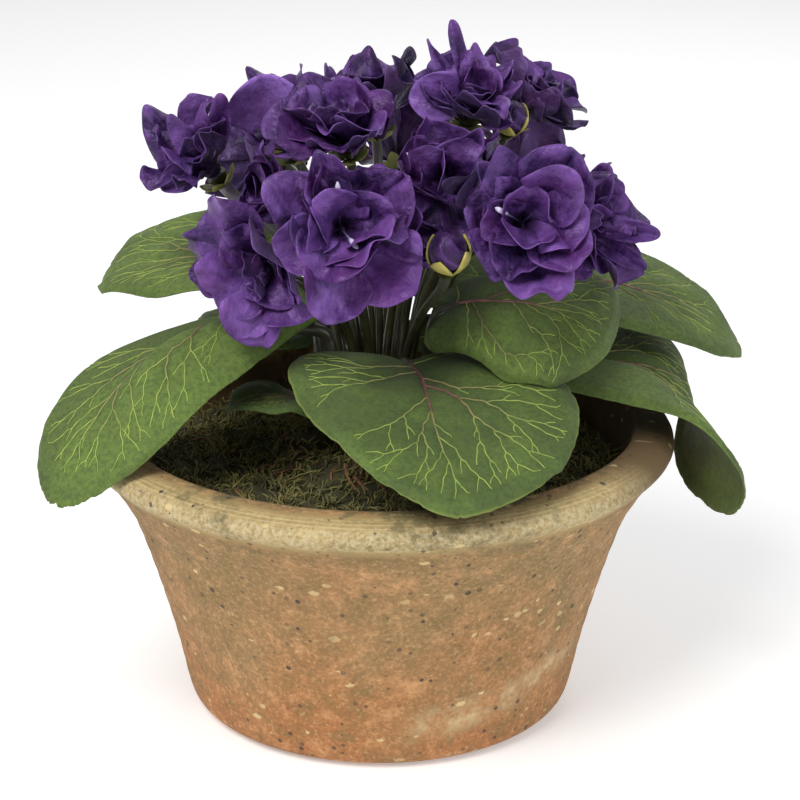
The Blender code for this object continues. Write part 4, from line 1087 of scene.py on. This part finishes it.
def whorlPetals(name, bloom, matrix):
    # more and narrower petals than the solid's whorls have, within the same reach
    petals = []
    seed = sum(ord(letter) for letter in name)
    luck = np.random.default_rng(seed)
    drift, fade = np.array(bloom["drift"]), np.array(bloom["fade"])
    for layer, rule in enumerate(whorlRules):
        lean = luck.uniform(*petalCut["lean"])
        axis = Vector((luck.normal(), luck.normal(), 0.01)).normalized()
        if rule is whorlRules[-1] and bloom["stamens"] > 1:
            continue  # the middle stays open round the stamens
        count = bloom["petals"][rule["like"]] + rule["more"]
        for i in range(count):
            longer, opener, swing, wider, tipOpener = [
                much * noise.noise(Vector((seed * 1.7 + i * 3.1, rule["key"], k * 5.3)))
                for k, much in enumerate(petalCut["vary"])
            ]
            own = {key: luck.uniform(*limits) for key, limits in petalLuck.items()}
            around = 2 * math.pi / count * (i + rule["step"]) + own["around"]
            way = matrix[:3, :3] @ (math.cos(around), math.sin(around), 0)
            length = bloom["radius"] * mm * (rule["length"] + longer) * own["length"]
            length *= petalCut["spread"] * (1 + drift @ way)
            opens = bloom["opens"] * rule["opens"] + opener + own["opens"]
            petals.append(dict(
                matrix=matrix @ np.array(Matrix.Rotation(lean, 4, axis)), around=around,
                swing=swing + own["swing"], length=length,
                half=length * (rule["half"] + wider) * own["half"] * bloom["slim"],
                opens=(petalCut["firstOpens"] * opens, opens * petalCut["lastOpens"] + tipOpener),
                curl=own["curl"] * rule["curl"],
                cup=rule["cup"] * own["cup"], twist=petalCut["pinwheel"] + own["twist"], slant=own["slant"],
                wave=length * rule["wave"] * own["wave"], waves=own["waves"], phase=own["phase"],
                start=rule["start"] * mm, raised=rule["raised"] * mm, root=0.42 + 0.05 * layer, free=False,
                # tone: its own dye, darker by the bloom's dim, with painted light on the side that fade
                # points to
                tone=own["tone"] - bloom["dim"] + fade @ way,
            ))
    return petals


# a stray petal whose half width is up to wideFrom, in millimetres, is a nearly straight slip
strayCut = {
    "wideFrom": 6, "slip": dict(opens=(84, 94), cup=0.5, wave=0.6 * mm),
    "wide": dict(opens=(62, 100), cup=0.25, wave=1.3 * mm),
}


def strayPetal(bloom, stray, phase):
    # a stray petal is laid out in a frame of its own, which looks the way its face does
    base = np.array(bloom["at"]) * mm
    way = np.array(stray["tip"]) * mm - base
    look = np.array(stray["look"], float)
    look = unit(look - unit(way) * (look @ unit(way)))
    own = np.eye(4)
    own[:3, :4] = np.column_stack([unit(way), np.cross(look, unit(way)), look, base])
    shape = strayCut["wide" if stray["half"] > strayCut["wideFrom"] else "slip"]
    return dict(
        shape, matrix=own, around=0.0, swing=0.0, length=np.linalg.norm(way), half=stray["half"] * mm, curl=0,
        twist=0.1, slant=0.2, waves=1.8, phase=phase, start=0.0, raised=0.5 * mm, tone=stray.get("tone", 0.4),
        root=0.4, free=True,
    )


def petalPoint(petal, a, s):
    # a point of a petal in its bloom's own frame: a across from -1 to 1, s along from 0 at its root to 1
    length, phase = petal["length"], petal["phase"]
    tip = np.maximum(0, 2 * s - 1)
    x = a * np.sqrt(1 - 0.5 * tip * tip)
    along = np.where(s < 0.5, s, 0.5 + 0.5 * tip * np.sqrt(1 - 0.5 * a * a))
    grown = smoothStep(along * 2)
    first, last = np.radians(petal["opens"])

    def bentTo(t):
        # the petal's angle from the bloom's axis there
        curl = math.radians(petal["curl"]) * smoothStep((t - 0.5) / 0.5)
        return first + (last - first) * t ** petalCut["rate"] + curl

    steps = petalCut["steps"]
    share = np.clip(along[..., None] * steps - np.arange(steps), 0, 1)
    angles = bentTo((np.arange(steps) + 0.5) / steps)
    out = petal["start"] + length / steps * (share * np.sin(angles)).sum(-1)
    up = petal["raised"] + length / steps * (share * np.cos(angles)).sum(-1)
    neck = petalCut["neck"]
    wide = petal["half"] * (neck + (1 - neck) * smoothStep(along / petalCut["neckEnd"]))
    across = x * wide + petal["slant"] * petal["half"] * along**2
    rim = smoothStep(along * 1.6) * np.maximum(np.abs(x), tip) ** 1.8
    bearing = petal["waves"] * np.arctan2(x, 0.25 + along)
    finer, lower = petalCut["second"]
    ruffle = np.sin(2 * bearing + phase) + lower * np.sin(finer * bearing + 2 * phase)
    lift = petal["cup"] * wide * x * x * smoothStep(along * 1.4) + petal["wave"] * rim * ruffle
    lift = lift - petal["twist"] * wide * x * grown
    # a crease down the middle, a slow buckle along it and crumples all over
    lift = lift - petalCut["crease"] * length * bell(x / petalCut["creaseWidth"]) * grown * (1 - tip)
    lift = lift + petalCut["buckle"] * length * np.sin(7 * along + phase + 2 * x) * grown
    flat = np.stack([across, along * length, np.zeros_like(across)], -1)
    lift = lift + petalCut["crumple"] * roughNoise(flat, 1 / petalCut["crumpleSize"], phase) * grown
    angle = bentTo(along)
    turn = petal["around"] + petal["swing"] * grown
    return turnedBy(turn, out - np.cos(angle) * lift, across, up + np.sin(angle) * lift), rim


def neighboursOf(name):
    # the plane between this bloom or bud and each one near it, which its petals bend back from
    mine = flowers[name]
    centre = np.array(mine["at"]) * mm
    planes = []
    for other, theirs in flowers.items():
        towards = np.array(theirs["at"]) * mm - centre
        apart = np.linalg.norm(towards)
        reach = (mine["radius"] + theirs["radius"]) * mm
        if other != name and apart < petalCut["near"] * reach:
            planes.append((centre + towards * mine["radius"] * mm / reach, towards / apart))
    return planes


def bentClear(points, planes):
    bend = petalCut["bend"]
    for _ in range(3):
        for middle, away in planes:
            past = (points - middle) @ away + petalCut["gap"]
            push = np.where(past > -bend, past + bend * np.exp(-np.maximum(past + bend, 0) / bend), 0)
            points = points - push[..., None] * away
    return points


def toPlant(matrix, points):
    return points @ matrix[:3, :3].T + matrix[:3, 3]


def makeBloom(name, bloom):
    matrix, planes = bloomMatrix(bloom), neighboursOf(name)
    rows, columns = petalCut["rows"], petalCut["columns"]
    a, s = gridOf(rows, columns, 0)
    petals = whorlPetals(name, bloom, matrix)
    for stray in bloom["strays"]:
        petals.append(strayPetal(bloom, stray, len(petals)))
    points, faces, tones, shades, cloth = [], [], [], [], []
    for i, petal in enumerate(petals):
        faces += [f[::-1] for f in gridFaces(rows, columns, i * rows * columns)]
        spots, rim = petalPoint(petal, a, s)
        spots = toPlant(petal["matrix"], spots)
        points.append((spots if petal["free"] else bentClear(spots, planes)).reshape(-1, 3))
        # a rim lighter partly by dye and partly as a painted highlight, and painted shade at the root
        ofTone, onRim, less = petalCut["tones"]
        tones.append(np.clip(ofTone * petal["tone"] + onRim * rim - less, 0, max(1, petal["tone"])))
        shades.append(petalCut["rootShade"] * (1 - smoothStep(s / petal["root"])))
        cloth.append(np.stack([a * petal["half"] + 0.05 * i, s * petal["length"]], -1))
    mesh = meshFrom(name + "_petals", np.vstack(points), (), faces, {"tone": tones, "shade": shades})
    clothMap(mesh, cloth)
    piece = addPiece(name + "_petals", mesh, petalSatin, petalBack)
    thicken(piece, petalCut["thickness"], 1)
    settle(piece, name)
    addThroat(matrix, planes)
    addStamens(name, bloom, matrix)


def addThroat(matrix, planes):
    # a small cup closes the middle of the bloom: its outline is in shares, out from the axis and up along it
    outline = ((0.0, 0.1), (0.6, 0.16), (1.0, 0.45), (0.95, -0.1), (0.65, -0.5), (0.0, -0.5))
    r, h = np.array(outline).T[..., None]
    turns = np.linspace(0, 2 * math.pi, 13)
    cup = turnedBy(turns, r * petalCut["throat"], 0, h * petalCut["throatDepth"])
    throats["faces"] += gridFaces(len(r), len(turns), len(throats["points"]))
    throats["points"].extend(bentClear(toPlant(matrix, cup.reshape(-1, 3)), planes).tolist())


# A stamen is a dark thread with a pearly club. along: the places where its radius, in millimetres, and its
# tint are given. reach: its length, as a share of the bloom's radius. luck: how unevenly they stand round it.
stamenCut = {
    "along": (0, 0.2, 0.45, 0.62, 0.7, 0.82, 0.94, 1.0), "tint": (0, 0, 0.1, 0.4, 1, 1, 1, 1),
    "girth": (0.32, 0.3, 0.3, 0.34, 0.68, 0.8, 0.66, 0.2), "reach": 0.56, "lean": (38, 66), "turn": 2.4,
    "apart": 2.1, "luck": 0.4,
}


def addStamens(name, bloom, matrix):
    chance = np.random.default_rng(len(name) * 7 + int(bloom["radius"]))
    reach = stamenCut["reach"] * bloom["radius"] * mm
    t = np.array(stamenCut["along"])
    for i in range(bloom["stamens"]):
        turn = stamenCut["turn"] + i * stamenCut["apart"]
        turn += chance.uniform(-stamenCut["luck"], stamenCut["luck"])
        lean = math.radians(chance.uniform(*stamenCut["lean"]))
        out, up = reach * np.sin(lean) * t**1.3, 0.8 * mm + reach * 1.2 * np.cos(lean) * t
        girth = np.array(stamenCut["girth"]) * mm
        stamens.add(toPlant(matrix, turnedBy(turn, out, 0, up)), girth, stamenCut["tint"])


def bloomFeet():
    # where each flower stalk stands: drawn in to the crown, and pushed apart to stand clear
    names = list(flowers)
    spots = {n: Vector(flowers[n]["at"]).xy * petalCut["draw"] * mm for n in names}
    apart = 2 * (petalCut["stalk"] + bedShape["play"]) + bedShape["web"]
    for _ in range(200):
        for i, one in enumerate(names):
            for two in names[i + 1:]:
                gap = spots[two] - spots[one]
                if gap.length < apart:
                    push = gap.normalized() * (apart - gap.length) / 2
                    spots[one] = spots[one] - push
                    spots[two] = spots[two] + push
    return spots


def makeCalyx(matrix, lines, wide, yellow):
    # pointed sepals: each follows its own line of places out from the axis and up along it
    a = np.linspace(-1, 1, 5)
    for i, line in enumerate(lines):
        turn = 2 * math.pi * i / len(lines) + 0.3 + 0.3 * math.sin(5.1 * i)
        t = np.linspace(0, 1, len(line))
        half = wide * np.sin(np.pi * np.clip(t * 0.86 + 0.14, 0, 1))[:, None] ** 0.8
        spots = turnedBy(turn, line[:, :1] - 0.25 * half * a * a, half * a, line[:, 1:])
        sepals["faces"] += gridFaces(len(line), len(a), len(sepals["points"]))
        sepals["points"].extend(toPlant(matrix, spots).reshape(-1, 3).tolist())
        sepals["tints"].extend(np.repeat(np.clip(yellow * t**0.7, 0, 1), len(a)).tolist())


# cup: how far over the stalk's head, and how wide, the cup under the sepals is, in millimetres
stalkCut = {
    "cup": ((0.4, 1.5), (1.2, 2.1), (2.2, 2.7), (3.2, 3.0)), "rings": 22, "sunk": 0.5 * mm, "swell": 0.6,
}


def makeStalk(name, flower, foot):
    way = unit(np.array(flower["faces"], float))
    depth = petalCut["throatDepth"] / 2 + bedShape["fit"]
    head = np.array(flower["at"]) * mm - way * (depth + petalCut["calyx"] - stalkCut["sunk"])
    low, collar = standingAt(foot.x, foot.y)
    bend = collar + np.array((*flower["sway"], 0)) * mm + (0, 0, flower["rise"] * (head[2] - collar[2]))
    path = np.array((collar, bend, head - way * flower["bow"] * mm, head))
    cup = [head + way * up * mm for up, _ in stalkCut["cup"]]
    route = np.vstack([low[None], bezier(path, np.linspace(0, 1, stalkCut["rings"])), cup])
    # a pale stalk swells towards its bloom
    count = stalkCut["rings"] + 1
    swell = 1 + stalkCut["swell"] * flower["pale"] * smoothStep(np.linspace(-1.2, 1, count))
    thick = np.concatenate([petalCut["stalk"] * swell, [wide * mm for _, wide in stalkCut["cup"]]])
    tint = np.concatenate([flower["pale"] * smoothStep(np.linspace(-0.6, 1, count)), np.zeros(len(cup))])
    paths = pathSet()
    paths.add(route, thick, tint)
    settle(paths.swept(name + "_tube", 12, stalkPlastic), name)


stamens = pathSet()
throats = {"points": [], "faces": []}
sepals = {"points": [], "faces": [], "tints": []}
feet = bloomFeet()
for name in bloomShapes:
    makeBloom(name, flowers[name])
    makeStalk(name + "_stalk", flowers[name], feet[name])
    t = np.linspace(0, 1, 9)
    star = np.column_stack([1.4 + 4.2 * np.sin(t * math.pi / 2) ** 0.9, -6.0 + 3.4 * t**1.15]) * mm
    makeCalyx(bloomMatrix(flowers[name]), [star] * 5, 2.0 * mm, 0.5)
print("blooms made")


# A closed bud: a ball of petals folded over each other in a slow spiral, held by sepals that hug it

# proud: how far a fold's edge stands out, as a share. tall: how much longer than wide it is. sepals: how
# far up the bud each one reaches, as an angle from its tip. hug: the ball they lie on, wide and tall.
budCut = {
    "rows": 33, "columns": 49, "folds": 5, "spiral": 1.1, "proud": 0.13, "tall": 1.15, "hug": (1.1, 1.25),
    "sepals": (0.75, 1.25, 0.95, 1.4, 1.1), "root": (1.4 * mm, -5.0 * mm), "sepalWidth": 0.62, "yellow": 1.2,
}


def makeBud(name, bud):
    matrix = bloomMatrix(bud)
    radius = bud["radius"] * mm
    rows, columns = budCut["rows"], budCut["columns"]
    v, u = np.meshgrid(np.linspace(0, math.pi, rows), np.linspace(0, 2 * math.pi, columns), indexing="ij")
    fold = np.mod(u * budCut["folds"] / (2 * math.pi) + budCut["spiral"] * np.cos(v), 1.0)
    swell = radius * (1 + (fold**2.2 - 0.3) * budCut["proud"] * np.sin(v) ** 0.7)
    middle = radius * budCut["tall"] - petalCut["throatDepth"] / 2
    points = turnedBy(u, swell * np.sin(v), 0, middle + budCut["tall"] * radius * np.cos(v))
    # tone: lighter towards each fold's proud edge; shade: painted shade where each fold tucks under the one
    # before
    mesh = meshFrom(
        name + "_satin", toPlant(matrix, points).reshape(-1, 3), (), gridFaces(rows, columns),
        {"tone": 0.7 * fold**2, "shade": 0.6 * (1 - fold)},
    )
    clothMap(mesh, np.stack([u * radius, v * radius], -1))
    settle(addPiece(name + "_satin", closeSeams(mesh), budSatin), name)
    lines = []
    wide, tall = budCut["hug"]
    for reach in budCut["sepals"]:
        v = np.linspace(2.7, reach, 10)
        hug = np.column_stack([wide * radius * np.sin(v), middle + tall * radius * np.cos(v)])
        lines.append(np.vstack([[budCut["root"]], hug]))
    makeCalyx(matrix, lines, budCut["sepalWidth"] * radius, budCut["yellow"])


for name in budShapes:
    makeBud(name, flowers[name])
    makeStalk(name + "_stalk", flowers[name], feet[name])

calyxMesh = meshFrom("calyxSepals", sepals["points"], (), sepals["faces"], {"tint": sepals["tints"]})
calyx = addPiece("calyxSepals", closeSeams(calyxMesh, False), sepalCloth)
thicken(calyx, 0.5 * mm)
settle(calyx)
# the throat cups are nearly black: painted shade deep in the middle of each bloom
marks = {"tone": [0.2] * len(throats["points"]), "shade": [0.85] * len(throats["points"])}
cups = meshFrom("throatCups", throats["points"], (), throats["faces"], marks)
clothMap(cups, np.array(throats["points"])[:, :2])
settle(addPiece("throatCups", closeSeams(cups), petalSatin))
settle(stamens.swept("stamens", 8, stamenPlastic))
print("buds, calyces and stamens made")


# The moss: a matted bed, with sprigs and curls of bark scattered over it by a geometry tree

# lump and fine: its two sizes of bumps. edge and drop: where it falls away towards the pot, and by how much.
mossShape = {
    "outer": 69.0 * mm, "level": 73.2 * mm, "mound": 78.4 * mm, "moundRadius": 21 * mm, "slope": 15 * mm,
    "rings": 44, "sides": 150, "lump": 2.6 * mm, "fine": 1.0 * mm, "edge": 60 * mm, "drop": 3.5 * mm,
    "under": 67.2 * mm, "lumpScale": 75, "fineScale": 330,
}
# density: on a square millimetre. reach: from the pot's axis. fronds: in a tuft, each with that many parts.
coverRules = {
    "mossSprigs": dict(
        density=0.15, reach=66 * mm, fronds=4, parts=4, length=4.6 * mm, girth=0.34 * mm, lean=(0.2, 1.25),
        curl=1.8, sizes=(0.7, 1.4), finish=mossFibre,
    ),
    "barkCurls": dict(
        density=0.05, reach=55 * mm, fronds=2, parts=9, length=10.0 * mm, girth=0.6 * mm, lean=(1.1, 1.5),
        curl=2.4, sizes=(0.6, 1.5), finish=barkFibre,
    ),
}


def makeMossMat(shape):
    rings, sides = shape["rings"], shape["sides"]
    r, u = np.meshgrid(np.linspace(0.0, 1, rings) ** 0.8, np.linspace(0, 2 * math.pi, sides), indexing="ij")
    radius = r * shape["outer"]
    flat = turnedBy(u, radius, 0, 0)
    rise = smoothStep((shape["moundRadius"] + shape["slope"] - radius) / shape["slope"])
    z = shape["level"] + (shape["mound"] - shape["level"]) * rise
    z = z + shape["lump"] * roughNoise(flat, shape["lumpScale"], 1)
    z = z + shape["fine"] * roughNoise(flat, shape["fineScale"], 2)
    z = z - shape["drop"] * smoothStep((radius - shape["edge"]) / (shape["outer"] - shape["edge"]))
    points = [turnedBy(u, radius, 0, z).reshape(-1, 3)]
    for share in (1.0, 0.0):
        points.append(turnedBy(u[-1], radius[-1] * share, 0, shape["under"]))
    marks = {"tint": np.full((rings + 2) * sides, 0.4)}
    return closeSeams(meshFrom("mossMat", np.vstack(points), (), gridFaces(rings + 2, sides), marks))


def makeSprig(name, rule, seed):
    # a tuft of a few tapering, curling fronds, which the scatter copies
    chance = np.random.default_rng(seed)
    paths = pathSet()
    t = np.linspace(0, 1, rule["parts"])
    for _ in range(rule["fronds"]):
        turn, lean = chance.uniform(0, 2 * math.pi), chance.uniform(*rule["lean"])
        reach = rule["length"] * chance.uniform(0.6, 1.0)
        bend = lean + rule["curl"] * t * chance.uniform(0.2, 1.0) * chance.choice([-1, 1])
        out = np.cumsum(np.sin(bend)) * reach / rule["parts"]
        up = np.cumsum(np.cos(bend)) * reach / rule["parts"]
        twist = turn + rule["curl"] * 0.5 * t * chance.choice([-1, 1])
        line = turnedBy(twist, out, 0, up - 0.15 * reach)
        paths.add(line, rule["girth"] * (1 - 0.75 * t), np.clip(t * chance.uniform(0.4, 1.2), 0, 1))
    return paths.swept(name, 3)


def makeScatterTree():
    tree, add, given = newTree(
        "scatterOverBed", Sprig="Object", Density="Float", Reach="Float", Smallest="Float", Largest="Float",
        Seed="Int", Finish="Material",
    )
    normal = add("ShaderNodeSeparateXYZ", {0: add("GeometryNodeInputNormal")}).outputs
    upward = add("FunctionNodeCompare", {0: normal[2], 1: 0.3}, data_type="FLOAT", operation="GREATER_THAN")
    place = add("GeometryNodeInputPosition")
    level = add("ShaderNodeVectorMath", {0: place, 1: (1, 1, 0)}, operation="MULTIPLY")
    radius = add("ShaderNodeVectorMath", {0: level}, operation="LENGTH")
    near = add(
        "FunctionNodeCompare", {0: radius, 1: given["Reach"]}, data_type="FLOAT", operation="LESS_THAN",
    )
    bed = add("FunctionNodeBooleanMath", {0: upward, 1: near}, operation="AND")
    points = add(
        "GeometryNodeDistributePointsOnFaces",
        {"Mesh": given["Geometry"], "Selection": bed, "Density": given["Density"], "Seed": given["Seed"]},
    )
    spin = add(
        "FunctionNodeRandomValue", {0: (-0.4, -0.4, 0.0), 1: (0.4, 0.4, 2 * math.pi), "Seed": given["Seed"]},
        data_type="FLOAT_VECTOR",
    )
    size = add(
        "FunctionNodeRandomValue", {2: given["Smallest"], 3: given["Largest"], "Seed": given["Seed"]},
        data_type="FLOAT",
    )
    sprig = add("GeometryNodeObjectInfo", {"Object": given["Sprig"]})
    turned = add("FunctionNodeEulerToRotation", {0: spin})
    copies = add("GeometryNodeInstanceOnPoints", {
        "Points": points, "Instance": sprig.outputs["Geometry"], "Rotation": turned, "Scale": size,
    })
    endTree(add, copies, given["Finish"])
    return tree


mossMesh = makeMossMat(mossShape)
scatterTree = makeScatterTree()
for name, rule in coverRules.items():
    sprig = makeSprig(name + "Sprig", rule, len(name))
    cover = runTree(
        name, mossMesh.copy(), scatterTree, Sprig=sprig, Density=rule["density"] / mm**2, Reach=rule["reach"],
        Smallest=rule["sizes"][0], Largest=rule["sizes"][1], Seed=11, Finish=rule["finish"],
    )
    bpy.data.objects.remove(sprig)
    settle(cover)
settle(addPiece("mossMat", mossMesh, mossBed), "moss")
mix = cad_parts["growing_medium"]
mix.data.materials.clear()
mix.data.materials.append(pottingMix)
print("moss laid")


# Floor, light and camera

studio = {
    "lamps": {
        "key": dict(at=(-0.45, -0.7, 1.05), size=0.6, power=13.0, colour=(1, 0.985, 0.96)),
        "fill": dict(at=(0.8, -0.6, 0.6), size=0.8, power=3.0, colour=(0.95, 0.97, 1)),
        "back": dict(at=(0.2, 0.8, 0.9), size=0.7, power=3.5, colour=(1, 1, 1)),
    },
    "aim": (0, 0, 0.1), "sky": 0.42, "glow": 0.3, "floor": 8,
}
for name, lamp in studio["lamps"].items():
    light = bpy.data.lights.new(name + "Light", "AREA")
    light.energy, light.size, light.color = lamp["power"], lamp["size"], lamp["colour"]
    holder = bpy.data.objects.new(name + "Light", light)
    bpy.context.scene.collection.objects.link(holder)
    holder.location = lamp["at"]
    holder.rotation_euler = (Vector(studio["aim"]) - Vector(lamp["at"])).to_track_quat("-Z", "Y").to_euler()
world = bpy.data.worlds.new("paleStudio")
bpy.context.scene.world = world
world.use_nodes = True
world.node_tree.nodes["Background"].inputs[0].default_value = plainValue("#FAFAFC")
world.node_tree.nodes["Background"].inputs[1].default_value = studio["sky"]

# a white sweep, lit a little from below as a photographer's table is
floorFinish = newFinish(
    "paleFloorPaint", Roughness=0.9, Emission_Strength=studio["glow"], Base_Color="#E8E8E8",
    Emission_Color="#FFFFFF",
)[0]
corners = [(x * studio["floor"], y * studio["floor"], 0) for x, y in ((-1, -1), (1, -1), (1, 1), (-1, 1))]
floorMesh = meshFrom("studioFloor", corners, (), [(0, 1, 2, 3)])
addPiece("studioFloor", floorMesh, floorFinish)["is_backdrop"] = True

# the photograph's camera: 0.72 m away, looking down by 0.343 radians, its focal length in the photo's pixels
shot = {
    "away": 0.7225, "pitch": 0.343, "aim": 0.0893, "side": 0.00565, "roll": 0.005,
    "focal": 2531, "pixels": 800, "sensor": 36,
}
camera = bpy.data.cameras.new("photoCamera")
camera.sensor_width = shot["sensor"]
camera.lens = shot["focal"] / shot["pixels"] * shot["sensor"]
cameraObject = bpy.data.objects.new("photoCamera", camera)
bpy.context.scene.collection.objects.link(cameraObject)
level, drop = math.cos(shot["pitch"]), math.sin(shot["pitch"])
down = Vector((0, level, -drop))
place = Matrix.Translation((shot["side"], -shot["away"] * level, shot["aim"] + shot["away"] * drop))
tilt = Matrix.Rotation(math.pi / 2 - shot["pitch"], 4, "X")
cameraObject.matrix_world = place @ Matrix.Rotation(-shot["roll"], 4, down) @ tilt
bpy.context.scene.camera = cameraObject
bpy.context.scene.view_settings.view_transform = "Standard"

manyTriangles = 40000
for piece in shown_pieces():
    if piece.type == "MESH":
        count = sum(len(p.vertices) - 2 for p in piece.data.polygons)
        if count > manyTriangles:
            print(piece.name, "has", count, "triangles before its thickness")
